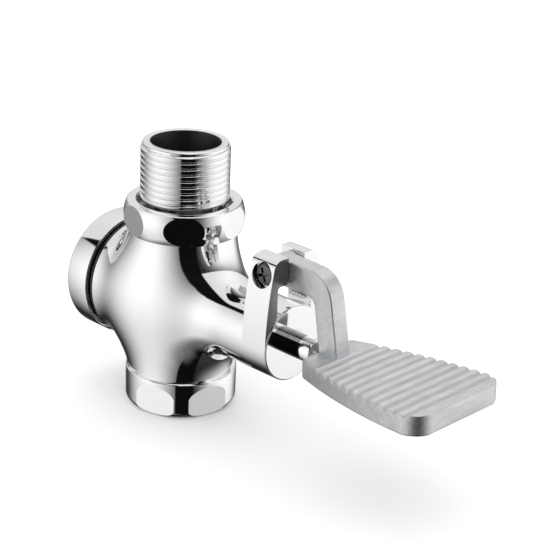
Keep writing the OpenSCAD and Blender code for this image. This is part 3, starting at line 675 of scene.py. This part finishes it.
union_mesh = union_nut()
shade(union_mesh, 9)
union_piece = put("union_nut_turned", union_mesh, "valve", "polished_chrome", ("inlet_union_nut",))


# Outlet nut

OUT_FOOT = -42.3
OUT_TOP = -27.9
OUT_R = 21.3
OUT_FOOT_ROUND = 3.0
OUT_EDGE = 0.8
OUT_THREAD_R = 18.8
OUT_WEB_TOP = -39.3
PIPE_HOLE_R = 16.2
OUT_FLAT = 19.7
OUT_FLAT_CROWN = 5.8
OUT_FLAT_BELOW_TOP = 2.0
OUT_FLAT_TURNS = (-72, -12, 108, 168)


def outlet_nut():
    side = swapped(arc(OUT_R - OUT_FOOT_ROUND, OUT_FOOT + OUT_FOOT_ROUND, OUT_FOOT_ROUND, -66, 0, 10))
    side = [(max(z, OUT_FOOT + 0.12), r) for z, r in side]
    profile = (
        [(OUT_FOOT, PIPE_HOLE_R), (OUT_FOOT, 18.9), (OUT_FOOT + 0.1, 19.3)] + side
        + [(OUT_TOP - OUT_EDGE, OUT_R)]
        + swapped(arc(OUT_R - OUT_EDGE, OUT_TOP - OUT_EDGE, OUT_EDGE, 15, 90, 5))
        + [(OUT_TOP, OUT_THREAD_R), (OUT_WEB_TOP, OUT_THREAD_R), (OUT_WEB_TOP, PIPE_HOLE_R)]
    )
    body = lathe(profile, "z", FINE_STEPS)
    half = math.sqrt(OUT_R ** 2 - OUT_FLAT ** 2) + 0.2
    shoulder = OUT_TOP - OUT_FLAT_BELOW_TOP - OUT_FLAT_CROWN
    flat = [(-half, OUT_FOOT - 1), (half, OUT_FOOT - 1)] + [
        (half * math.cos(math.radians(a)), shoulder + OUT_FLAT_CROWN * math.sin(math.radians(a)))
        for a in range(0, 181, 6)]
    tools = []
    for turn in OUT_FLAT_TURNS:
        tool = bmesh_to_mesh(prism(flat, "x", OUT_FLAT, OUT_R + 1), "flat")
        tool.transform(Matrix.Rotation(math.radians(turn), 4, "Z"))
        tools.append(tool)
    return cut(body, *tools)


outlet_mesh = outlet_nut()
shade(outlet_mesh, 9)
put("outlet_nut_turned", outlet_mesh, "valve", "polished_chrome", ("outlet_nut",))


# Rear cap with its ring

CAP_END = -39.6
CAP_R = 23.9
CAP_EDGE = 0.8
CAP_RIM_EDGE = 0.4
CAP_INNER_R = 21.6
CAP_WALL = 3
SPIGOT_L = 2
SPIGOT_OUTER = 8.8
SPIGOT_INNER = 6.8
RING_X = -27.5
RING_R = 21.65
RING_THICK_R = 0.74


def rear_cap():
    """A plain cap, with the spigot that carries the piston's spring inside."""
    wall_x = CAP_END + CAP_WALL
    profile = (
        [(CAP_END, 0)]
        + arc(CAP_END + CAP_EDGE, CAP_R - CAP_EDGE, CAP_EDGE, 180, 90, 6)
        + arc(GROOVE_END - CAP_RIM_EDGE, CAP_R - CAP_RIM_EDGE, CAP_RIM_EDGE, 90, 0, 5)
        + [(GROOVE_END, CAP_INNER_R), (wall_x, CAP_INNER_R)]
        + [(wall_x, SPIGOT_OUTER), (wall_x + SPIGOT_L, SPIGOT_OUTER)]
        + [(wall_x + SPIGOT_L, SPIGOT_INNER), (wall_x, SPIGOT_INNER), (wall_x, 0)]
    )
    return lathe(profile, "x", FINE_STEPS, closed=False)


cap_mesh = rear_cap()
shade(cap_mesh, 35)
put("rear_cap_turned", cap_mesh, "valve", "polished_chrome", ("rear_cap",))

ring_mesh = lathe(arc(RING_X, RING_R, RING_THICK_R, 0, 360, 20)[:-1], "x")
shade(ring_mesh, 60)
put("groove_ring_round", ring_mesh, "valve", "black_rubber", ("cap_groove_ring",))


# Push rod and pivot screw

ROD_R = 4.6
ROD_START = 14.6
ROD_END = 70.0
ROD_EDGE = 0.7
# Length of the rod's end left bright chrome; the rest of the rod is darkened as painted shade
ROD_BRIGHT = 5.6
ROD_INNER_R = 3
COLLAR = (46.6, 48.6)
COLLAR_R = 7.5


def push_rod():
    profile = (
        [(ROD_START, 0), (ROD_START, ROD_INNER_R - 0.5), (ROD_START + 0.5, ROD_INNER_R)]
        + [(COLLAR[0], ROD_INNER_R), (COLLAR[0], COLLAR_R), (COLLAR[1], COLLAR_R), (COLLAR[1], ROD_R)]
        + [(ROD_END - ROD_BRIGHT, ROD_R)]
        + arc(ROD_END - ROD_EDGE, ROD_R - ROD_EDGE, ROD_EDGE, 90, 0, 6)
        + [(ROD_END, 0)]
    )
    return lathe(profile, "x", 96, closed=False)


rod_mesh = push_rod()
shade(rod_mesh, 40)
rod_piece = put("push_rod_turned", rod_mesh, "rod", "polished_chrome", ("push_rod",))

SCREW_TOP = -10.9
SCREW_END = 10.8
SHANK_R = 3.0
HEAD_ROUND = 1.85
HEAD_ROUND_AT = (2.6, -9.0)
CROSS_HALF_L = 2.7
CROSS_HALF_W = 0.55
CROSS_FLOOR = -9.7
CROSS_TURNS = (20, 110)


def pivot_screw():
    crown = [(SCREW_TOP, 0), (SCREW_TOP, 1.5)] + swapped(arc(*HEAD_ROUND_AT, HEAD_ROUND, -80, 0, 9))
    shank = [
        (-SCREW_SEAT, SHANK_R), (SCREW_END - 0.2, SHANK_R), (SCREW_END, SHANK_R - 0.2), (SCREW_END, 0)]
    body = lathe(crown + shank, "y", 72, closed=False)
    arm_of_cross = [
        (-CROSS_HALF_L, -CROSS_HALF_W), (CROSS_HALF_L, -CROSS_HALF_W),
        (CROSS_HALF_L, CROSS_HALF_W), (-CROSS_HALF_L, CROSS_HALF_W)]
    tools = []
    for turn in CROSS_TURNS:
        tool = bmesh_to_mesh(prism(arm_of_cross, "y", SCREW_TOP - 2.1, CROSS_FLOOR), "cross")
        tool.transform(Matrix.Rotation(math.radians(-turn), 4, "Y"))
        tools.append(tool)
    made = cut(body, *tools)
    made.transform(Matrix.Translation((PIVOT[0], 0, PIVOT[1])))
    return made


screw_mesh = pivot_screw()
shade(screw_mesh, 30)
put("pivot_screw_crossed", screw_mesh, "valve", "dark_steel", ("pivot_screw",))


# Pedal: arm, tread and the peg that meets the rod

ARM_HALF = 3.7
HUB_R = 5.4
HUB_HOLE = 4.0
ARM_REACH = 16.3
ARM_TOP = 5.8
ARM_FALL = 1.3
ARM_D = 9.8
ARM_EDGE = 0.75
LEG_D = 11.7
BEND_R = 11.0
BEND_INNER = 3.9
LEG_LEAN = 11.5
TREAD = (74.0, 2.9)
TREAD_Y = 0.7
TREAD_TILT = 2.7
TREAD_L = 60.5
TREAD_HALF = 23.4
TREAD_INNER = 12.6
TREAD_T = 7.3
TREAD_CORNER = 8.0
TREAD_EDGE = 0.55
# The upright stretch of the tread's side ends between these depths, below the grooves
SIDE_TOP = (-2.7, -2.4)
GROOVE_START = 10.7
RIB_PITCH = 4.4
RIB_COUNT = 10
RIB_R = 2.55
RIB_STEPS = 16
PEG_R = 1.9
PEG_Z = -1.7
PEG_TIP = 70.3
PEG_END = 77.0


def arm():
    """Arm from the hub over the bend down to the tread, as an outline in (x, z) from the pivot."""
    slope = math.degrees(math.atan(ARM_FALL / (ARM_REACH - HUB_R)))
    bend_z = ARM_TOP - ARM_FALL - BEND_R * math.cos(math.radians(slope))
    bend_x = ARM_REACH - BEND_R * math.sin(math.radians(slope))
    inner_x = bend_x + BEND_R - LEG_D
    foot = TREAD[1] - PIVOT[1] - 2
    lean = math.radians(LEG_LEAN)
    outer_foot = bend_x + BEND_R / math.cos(lean) + (bend_z - foot) * math.tan(lean)
    inner_foot = TREAD[0] - PIVOT[0] + 0.1
    under = ARM_TOP - ARM_FALL - ARM_D
    outline = (
        arc(0, 0, HUB_R, 270, 66, 28)
        + arc(bend_x, bend_z, BEND_R, 90 - slope, LEG_LEAN, 18)
        + [(outer_foot, foot), (inner_foot, foot)]
        + arc(inner_x, under - BEND_INNER, BEND_INNER, LEG_LEAN, 90, 12)
    )
    work = prism(outline, "y", -ARM_HALF, ARM_HALF)
    work.normal_update()
    rims = [e for e in work.edges if abs(e.verts[0].co.y - e.verts[1].co.y) < 0.01]
    bevel(work, rims, ARM_EDGE)
    mesh = bmesh_to_mesh(work, "arm")
    past_arm = ARM_HALF + 1.3
    hole = lathe(
        [(-past_arm, 0), (-past_arm, HUB_HOLE), (past_arm, HUB_HOLE), (past_arm, 0)], "y", 64, closed=False)
    made = cut(mesh, hole)
    made.transform(Matrix.Translation((PIVOT[0], 0, PIVOT[1])))
    return made


def rib_height(x):
    """Depth of the tread's top below its crests at a distance along it."""
    first = GROOVE_START - RIB_PITCH / 2
    last = first + (RIB_COUNT + 1) * RIB_PITCH
    if x < first or x > last:
        return 0.0
    from_crest = (x - first + RIB_PITCH / 2) % RIB_PITCH - RIB_PITCH / 2
    return RIB_R - math.sqrt(RIB_R ** 2 - from_crest ** 2)


def tread_half(x):
    """Half the tread's width at a distance along it: a long curve, then the rounded corner."""
    over = x - (TREAD_L - TREAD_CORNER)
    if over <= 0:
        rise = TREAD_HALF - TREAD_INNER
        side_r = (TREAD_L ** 2 + rise ** 2) / (2 * rise)
        return TREAD_HALF - side_r + math.sqrt(side_r ** 2 - (TREAD_L - x) ** 2)
    return TREAD_HALF - 0.12 - TREAD_CORNER + math.sqrt(max(0, TREAD_CORNER ** 2 - over ** 2))


def tread_section(x, top, foot):
    """One slice of the tread across it, with rounded edges above and below."""
    half = tread_half(x)
    inner = half - TREAD_EDGE
    right = (
        [(half * share, foot) for share in (0, 0.3, 0.6, 0.85)]
        + arc(inner, foot + TREAD_EDGE, TREAD_EDGE, -90, 0, 4)
        + [(half, foot + TREAD_EDGE + 0.3), (half, SIDE_TOP[0]), (half, SIDE_TOP[1])]
        + arc(inner, top - TREAD_EDGE, TREAD_EDGE, 0, 90, 4)
        + [(half * share, top) for share in (0.92, 0.8, 0.6, 0.4, 0.2)]
    )
    left = [(-y, z) for y, z in reversed(right[1:])]
    return [Vector((x, y, z)) for y, z in right + [(0, top)] + left]


def tread():
    corner_x = TREAD_L - TREAD_CORNER
    stations = []
    x = 0.0
    while x < corner_x:
        stations.append(x)
        x += RIB_PITCH / RIB_STEPS
    stations += [corner_x + TREAD_CORNER * math.sin(math.radians(5 * i)) for i in range(19)]
    rings = []
    for x in stations:
        to_end = min(x, TREAD_L - x)
        inside = max(0, TREAD_EDGE - to_end)
        roll = TREAD_EDGE - math.sqrt(max(0, TREAD_EDGE ** 2 - inside ** 2))
        rings.append(tread_section(x, -rib_height(x) - roll, roll - TREAD_T))
    work = bmesh.new()
    verts = [[work.verts.new(p) for p in ring] for ring in rings]
    count = len(verts[0])
    for first, second in zip(verts, verts[1:]):
        for i in range(count):
            j = (i + 1) % count
            work.faces.new((first[i], first[j], second[j], second[i]))
    work.faces.new(list(reversed(verts[0])))
    work.faces.new(verts[-1])
    mesh = bmesh_to_mesh(work, "tread")
    tilt = Matrix.Rotation(math.radians(-TREAD_TILT), 4, "Y")
    mesh.transform(Matrix.Translation((TREAD[0], TREAD_Y, TREAD[1])) @ tilt)
    return mesh


def peg():
    profile = arc(PEG_TIP + PEG_R, 0, PEG_R, 180, 90, 10) + [(PEG_END, PEG_R), (PEG_END, 0)]
    mesh = lathe(profile, "x", 48, closed=False)
    mesh.transform(Matrix.Translation((0, 0, PEG_Z)))
    return mesh


arm_mesh = arm()
shade(arm_mesh, 32)
arm_piece = put("pedal_arm", arm_mesh, "pedal", "cast_aluminium", ("foot_pedal",))
weigh(arm_piece)
tread_mesh = tread()
shade(tread_mesh, 40)
put("pedal_tread", tread_mesh, "pedal", "cast_aluminium", ("foot_pedal",))
peg_mesh = peg()
shade(peg_mesh, 40)
put("pedal_peg", peg_mesh, "pedal", "cast_aluminium", ("foot_pedal",))


# Materials

STREAKS_PER_M = (420, 110, 420)


def new_material(name):
    made = bpy.data.materials.new(name)
    made.use_nodes = True
    made.node_tree.nodes.clear()
    return made, made.node_tree.nodes, made.node_tree.links


def noise_share(nodes, links, where, low, high, **settings):
    """A noise whose middle stretch is spread from low to high."""
    noise = nodes.new("ShaderNodeTexNoise")
    for name, value in settings.items():
        noise.inputs[name].default_value = value
    links.new(where, noise.inputs["Vector"])
    spread = nodes.new("ShaderNodeMapRange")
    spread.inputs["From Min"].default_value = 0.3
    spread.inputs["From Max"].default_value = 0.7
    spread.inputs["To Min"].default_value = low
    spread.inputs["To Max"].default_value = high
    links.new(noise.outputs["Fac"], spread.inputs["Value"])
    return spread.outputs["Result"]


def add_streaks(nodes, links, where, colour, streaks, surface):
    """Streaks of tone that run across the pedal, as its ribs do."""
    stretched = nodes.new("ShaderNodeMapping")
    stretched.inputs["Scale"].default_value = STREAKS_PER_M
    links.new(where, stretched.inputs["Vector"])
    share = noise_share(
        nodes, links, stretched.outputs["Vector"], 0, 1, Scale=1, Detail=5, Roughness=0.7)
    tone = nodes.new("ShaderNodeMix")
    tone.data_type = "RGBA"
    tone.inputs["A"].default_value = (*(c * (1 - streaks) for c in colour), 1)
    tone.inputs["B"].default_value = (*(c * (1 + streaks) for c in colour), 1)
    links.new(share, tone.inputs["Factor"])
    links.new(tone.outputs["Result"], surface.inputs["Base Color"])


def add_relief(nodes, links, where, per_m, depth, surface):
    """A fine relief of so many waves per metre and so many metres deep."""
    fine = nodes.new("ShaderNodeTexNoise")
    fine.inputs["Scale"].default_value = per_m
    fine.inputs["Detail"].default_value = 3
    links.new(where, fine.inputs["Vector"])
    relief = nodes.new("ShaderNodeBump")
    relief.inputs["Strength"].default_value = 0.6
    relief.inputs["Distance"].default_value = depth
    links.new(fine.outputs["Fac"], relief.inputs["Height"])
    links.new(relief.outputs["Normal"], surface.inputs["Normal"])


def finish(name, colour, roughness, spread, grain, metallic=1.0, relief=None, streaks=0.0):
    """A surface whose roughness varies by spread, with a noise of grain waves per metre."""
    made, nodes, links = new_material(name)
    out = nodes.new("ShaderNodeOutputMaterial")
    surface = nodes.new("ShaderNodeBsdfPrincipled")
    links.new(surface.outputs["BSDF"], out.inputs["Surface"])
    surface.inputs["Base Color"].default_value = (*colour, 1)
    surface.inputs["Metallic"].default_value = metallic
    where = nodes.new("ShaderNodeTexCoord").outputs["Object"]
    varied = noise_share(
        nodes, links, where, roughness - spread, roughness + spread, Scale=grain, Detail=4)
    links.new(varied, surface.inputs["Roughness"])
    if streaks:
        add_streaks(nodes, links, where, colour, streaks, surface)
    if relief:
        add_relief(nodes, links, where, *relief, surface)
    return made


looks = {
    "polished_chrome": finish(
        "polished chrome", (0.93, 0.935, 0.94), roughness=0.045, spread=0.015, grain=60),
    "cast_aluminium": finish(
        "cast aluminium", (0.66, 0.67, 0.68), roughness=0.4, spread=0.06, grain=900,
        relief=(1500, 0.00009), streaks=0.12),
    "brass": finish("brass", (0.72, 0.5, 0.22), roughness=0.25, spread=0.06, grain=300),
    "black_rubber": finish(
        "black rubber", (0.012, 0.012, 0.014), roughness=0.14, spread=0.03, grain=90, metallic=0.0),
    "fibre": finish(
        "fibre", (0.32, 0.12, 0.07), roughness=0.8, spread=0.1, grain=500, metallic=0.0,
        relief=(1500, 0.00005)),
    "spring_steel": finish("spring steel", (0.55, 0.55, 0.56), roughness=0.22, spread=0.05, grain=500),
    # Dark steel, darkened further as painted shade of the recess that the screw sits in
    "dark_steel": finish(
        "dark steel with painted recess shade", (0.13, 0.13, 0.14), roughness=0.14, spread=0.06, grain=500, relief=(1400, 0.00002)),
}
# Chrome darkened as painted shade for the gap between the nipple and the union nut, and as a painted
# reflection of the pedal's shaded leg on the fork's front face
painted_shade_chrome = finish(
    "chrome with painted shade", (0.3, 0.3, 0.31), roughness=0.3, spread=0.04, grain=300, relief=(900, 0.00001))
# Passages rough as cast, with their near-black colour painted as the shade inside them
cast_bore_painted_shade = finish(
    "bore as cast, painted near black as shade", (0.045, 0.045, 0.05), roughness=0.45, spread=0.06, grain=300,
    relief=(900, 0.00004))
# Stainless steel, darkened further as painted shade where the ears and the pedal hang over the rod
rod_painted_shade = finish("stainless steel rod with painted shade", (0.36, 0.36, 0.37), roughness=0.06, spread=0.02, grain=300)


def give_look(thing, look):
    thing.data.materials.clear()
    thing.data.materials.append(look)


def second_look(thing, look, chosen):
    """Gives a look of its own to the faces that are chosen by centre, in millimetres, and normal."""
    thing.data.materials.append(look)
    number = len(thing.data.materials) - 1
    for face in thing.data.polygons:
        centre = face.center / MM - Vector((0, 0, AXIS_Z))
        if chosen(centre, face.normal):
            face.material_index = number


def from_z(point):
    return math.hypot(point.x, point.y)


node_slots = {s["node"]: s["material_slot"] for s in frame["record"]["subparts"]}
for node, thing in frame["nodes"].items():
    give_look(thing, looks[node_slots[node]])
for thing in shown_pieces():
    if "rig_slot" in thing:
        give_look(thing, looks[thing["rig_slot"]])

# Painted shade: near black in the nipple's bore and the casting's passages, darkened chrome in the gap
# between the nipple and the union nut
bore_reach = NIPPLE_BORE + 0.3
second_look(nipple_piece, cast_bore_painted_shade, lambda c, n: c.z < NIPPLE_TOP and from_z(c) < bore_reach)
second_look(
    nipple_piece, painted_shade_chrome,
    lambda c, n: c.z < UNION_TOP + 0.1 and bore_reach <= from_z(c) < FLANGE_R + 0.5)
second_look(
    union_piece, painted_shade_chrome, lambda c, n: c.z < UNION_TOP - 0.3 and from_z(c) < UNION_HOLE_R + 0.28)
give_look(ways, cast_bore_painted_shade)
# Painted shade on the rod, all but its bright end
second_look(rod_piece, rod_painted_shade, lambda c, n: c.x < ROD_END - ROD_BRIGHT)
# Painted reflection of the pedal's shaded leg on the near half of the fork's front face
fork_front = BOSS_END - END_STEP
second_look(
    fork_piece, painted_shade_chrome, lambda c, n: c.y < 0 and abs(c.x - fork_front) < NEAR and n.x > 0.99)


# Floor, seen with its shadow by the camera and left out of mirror reflections

FLOOR_HALF = 6.0
FLOOR_BELOW = 0.0002


def floor():
    mesh = bpy.data.meshes.new("floor")
    corners = [(x * FLOOR_HALF, y * FLOOR_HALF, 0) for x, y in ((-1, -1), (1, -1), (1, 1), (-1, 1))]
    mesh.from_pydata(corners, [], [(0, 1, 2, 3)])
    thing = bpy.data.objects.new("floor", mesh)
    bpy.context.scene.collection.objects.link(thing)
    thing.location.z = -FLOOR_BELOW
    made, nodes, links = new_material("floor")
    out = nodes.new("ShaderNodeOutputMaterial")
    mix = nodes.new("ShaderNodeMixShader")
    ray = nodes.new("ShaderNodeLightPath")
    matte = nodes.new("ShaderNodeBsdfDiffuse")
    matte.inputs["Color"].default_value = (0.95, 0.95, 0.95, 1)
    clear = nodes.new("ShaderNodeBsdfTransparent")
    links.new(ray.outputs["Is Glossy Ray"], mix.inputs["Fac"])
    links.new(matte.outputs["BSDF"], mix.inputs[1])
    links.new(clear.outputs["BSDF"], mix.inputs[2])
    links.new(mix.outputs["Shader"], out.inputs["Surface"])
    mesh.materials.append(made)


floor()


# Studio round the valve, as a world light that depends on the direction alone

class Studio:
    """Shader nodes that say how bright the world is in the seen direction."""

    def __init__(self):
        world = bpy.data.worlds.new("studio")
        bpy.context.scene.world = world
        world.use_nodes = True
        self.tree = world.node_tree
        self.tree.nodes.clear()
        self.links = self.tree.links
        self.way = self.node("ShaderNodeTexCoord").outputs["Generated"]
        split = self.node("ShaderNodeSeparateXYZ")
        self.links.new(self.way, split.inputs[0])
        height = self.math("ARCSINE", split.outputs["Z"])
        self.height = self.math("MULTIPLY", height, 180 / math.pi)

    def node(self, kind):
        return self.tree.nodes.new(kind)

    def feed(self, socket, value):
        """Sets a socket to a number, or links it to another node's output."""
        if isinstance(value, (int, float)):
            socket.default_value = value
        else:
            self.links.new(value, socket)

    def math(self, operation, *values):
        made = self.node("ShaderNodeMath")
        made.operation = operation
        for socket, value in zip(made.inputs, values):
            self.feed(socket, value)
        return made.outputs[0]

    def ramp(self, value, start, end):
        """0 up to start, 1 from end on, with a smooth change between."""
        made = self.node("ShaderNodeMapRange")
        made.interpolation_type = "SMOOTHSTEP"
        made.clamp = True
        self.links.new(value, made.inputs["Value"])
        low, high = min(start, end), max(start, end)
        made.inputs["From Min"].default_value = low
        made.inputs["From Max"].default_value = high
        made.inputs["To Min"].default_value = 0 if start < end else 1
        made.inputs["To Max"].default_value = 1 if start < end else 0
        return made.outputs["Result"]

    def rising(self, start, end):
        """0 at one height over the horizon and 1 at another, in degrees, and the same beyond them."""
        return self.ramp(self.height, start, end)

    def sector(self, middle, half, soft):
        """1 within half a width of a compass direction, 0 outside, in degrees."""
        turn = self.node("ShaderNodeVectorRotate")
        turn.rotation_type = "Z_AXIS"
        turn.inputs["Angle"].default_value = -math.radians(middle)
        self.links.new(self.way, turn.inputs["Vector"])
        split = self.node("ShaderNodeSeparateXYZ")
        self.links.new(turn.outputs[0], split.inputs[0])
        angle = self.math("ARCTAN2", split.outputs["Y"], split.outputs["X"])
        away = self.math("ABSOLUTE", self.math("MULTIPLY", angle, 180 / math.pi))
        return self.ramp(away, half + soft, half - soft)

    def cosine(self, azimuth, elevation):
        """Cosine of the angle between the seen direction and one compass direction and height."""
        made = self.node("ShaderNodeVectorMath")
        made.operation = "DOT_PRODUCT"
        self.links.new(self.way, made.inputs[0])
        turn = math.radians(azimuth)
        rise = math.radians(elevation)
        made.inputs[1].default_value = (
            math.cos(turn) * math.cos(rise), math.sin(turn) * math.cos(rise), math.sin(rise))
        return made.outputs["Value"]

    def cap(self, azimuth, elevation, half, soft):
        """1 within half an angle of a direction, 0 outside, in degrees.

        A half of 90 gives a box's straight edge.
        """
        angle = self.math("ARCCOSINE", self.cosine(azimuth, elevation))
        return self.ramp(self.math("MULTIPLY", angle, 180 / math.pi), half + soft, half - soft)

    def outside(self, share):
        return self.math("SUBTRACT", 1, share)

    def all_of(self, first, *others):
        """The product of shares: 1 where all of them are 1."""
        for other in others:
            first = self.math("MULTIPLY", first, other)
        return first

    def toward(self, base, level, share):
        """base moved to level by share."""
        mix = self.node("ShaderNodeMix")
        mix.data_type = "FLOAT"
        self.links.new(share, mix.inputs[0])
        self.feed(mix.inputs[2], base)
        self.feed(mix.inputs[3], level)
        return mix.outputs[0]


# Levels of light, where 1 shows as white, and directions as (compass angle, height) in degrees
GROUND = 0.02
GROUND_BELOW = 0.035
TOP_BOX_WAY = (-148, 37)
TOP_BOX = 0.76
TOP_BOX_BRIGHT = 1.0
BACK_WALL = 0.3
RIGHT_BOX_WAY = (60, 8)
RIGHT_BOX = 1.06
RIGHT_BOX_BY_TOP = 0.34
DARK_CARD_WAY = (-95, -13)
DARK_CARD = 0.004
NEAR_GROUND = 0.15
LEFT_BOX = 1.12
LEFT_BOX_ENDS = 0.7
LEFT_BOX_EDGES = ((-144, 0, 90, 1.3), (-115, -52, 90, 1.5), (-133, -27, 86, 1.5))
# What lights the matt surfaces, and what the camera sees behind the valve
MATT_LIGHT = 1.32
BACKDROP = 1.0


def mirrored_light(studio):
    """What the polished surfaces mirror, painted one over the other."""
    light = studio.toward(GROUND, GROUND_BELOW, studio.rising(-50, -80))

    # Top box, brighter on its far side, with one straight edge
    top_box = studio.cap(*TOP_BOX_WAY, 90, 1.5)
    level = studio.toward(TOP_BOX, TOP_BOX_BRIGHT, studio.cap(85, 60, 32, 30))
    light = studio.toward(light, level, studio.all_of(top_box, studio.rising(-24, 16)))

    # Dim strip of wall behind
    back_wall = studio.all_of(studio.sector(140, 20, 16), studio.rising(-44, -14), studio.rising(4, -8))
    light = studio.toward(light, BACK_WALL, back_wall)

    # Right box, dimmer towards the top box's edge
    fade = studio.toward(RIGHT_BOX_BY_TOP, 1.0, studio.ramp(studio.cosine(*TOP_BOX_WAY), 0.12, -0.7))
    right_box = studio.all_of(
        studio.cap(*RIGHT_BOX_WAY, 55, 29), studio.sector(35, 72, 25), studio.rising(-78, -18), fade,
        studio.outside(top_box))
    light = studio.toward(light, RIGHT_BOX, right_box)

    # Dark card in front, which makes the black band down the body
    light = studio.toward(light, DARK_CARD, studio.cap(*DARK_CARD_WAY, 74, 1.3))

    # Glow on the ground in front
    near_ground = studio.all_of(
        studio.sector(-105, 55, 20), studio.rising(-82, -62), studio.rising(-50, -60))
    light = studio.toward(light, NEAR_GROUND, near_ground)

    # Left box, a little dimmer away from the horizon, cut by three straight edges
    fall = studio.toward(LEFT_BOX_ENDS, 1.0, studio.ramp(studio.math("ABSOLUTE", studio.height), 48, 0))
    left_box = studio.all_of(
        studio.sector(-113, 42.5, 37.5), studio.rising(-63, -45), fall,
        *(studio.cap(*edge) for edge in LEFT_BOX_EDGES))
    return studio.toward(light, LEFT_BOX, left_box)


def light_world():
    studio = Studio()
    ray = studio.node("ShaderNodeLightPath")
    level = studio.toward(MATT_LIGHT, mirrored_light(studio), ray.outputs["Is Glossy Ray"])
    level = studio.toward(level, BACKDROP, ray.outputs["Is Camera Ray"])
    background = studio.node("ShaderNodeBackground")
    background.inputs["Color"].default_value = (1, 1, 1, 1)
    studio.links.new(level, background.inputs["Strength"])
    out = studio.node("ShaderNodeOutputWorld")
    studio.links.new(background.outputs[0], out.inputs["Surface"])


light_world()


# Camera at the photo's angle: its place in metres, its lens in millimetres and its angles in degrees

CAMERA_PLACE = (0.4232, -0.3953, 0.2839)
CAMERA_LENS = 106.07
CAMERA_AZIMUTH = 43.32
CAMERA_ELEVATION = 22.03
CAMERA_ROLL = 2.64


def camera():
    data = bpy.data.cameras.new("camera")
    data.lens = CAMERA_LENS
    data.sensor_width = 36.0
    data.clip_start = 0.05
    data.clip_end = 20.0
    thing = bpy.data.objects.new("camera", data)
    bpy.context.scene.collection.objects.link(thing)
    azimuth = math.radians(CAMERA_AZIMUTH)
    elevation = math.radians(CAMERA_ELEVATION)
    roll = math.radians(CAMERA_ROLL)
    ahead = Vector((
        -math.sin(azimuth) * math.cos(elevation), math.cos(azimuth) * math.cos(elevation),
        -math.sin(elevation)))
    level_right = Vector((math.cos(azimuth), math.sin(azimuth), 0))
    level_up = level_right.cross(ahead)
    right = level_right * math.cos(roll) + level_up * math.sin(roll)
    up = level_up * math.cos(roll) - level_right * math.sin(roll)
    turned = Matrix((right, up, -ahead)).transposed().to_4x4()
    thing.matrix_world = Matrix.Translation(CAMERA_PLACE) @ turned
    return thing


bpy.context.scene.camera = camera()
bpy.context.scene.view_settings.view_transform = "Standard"
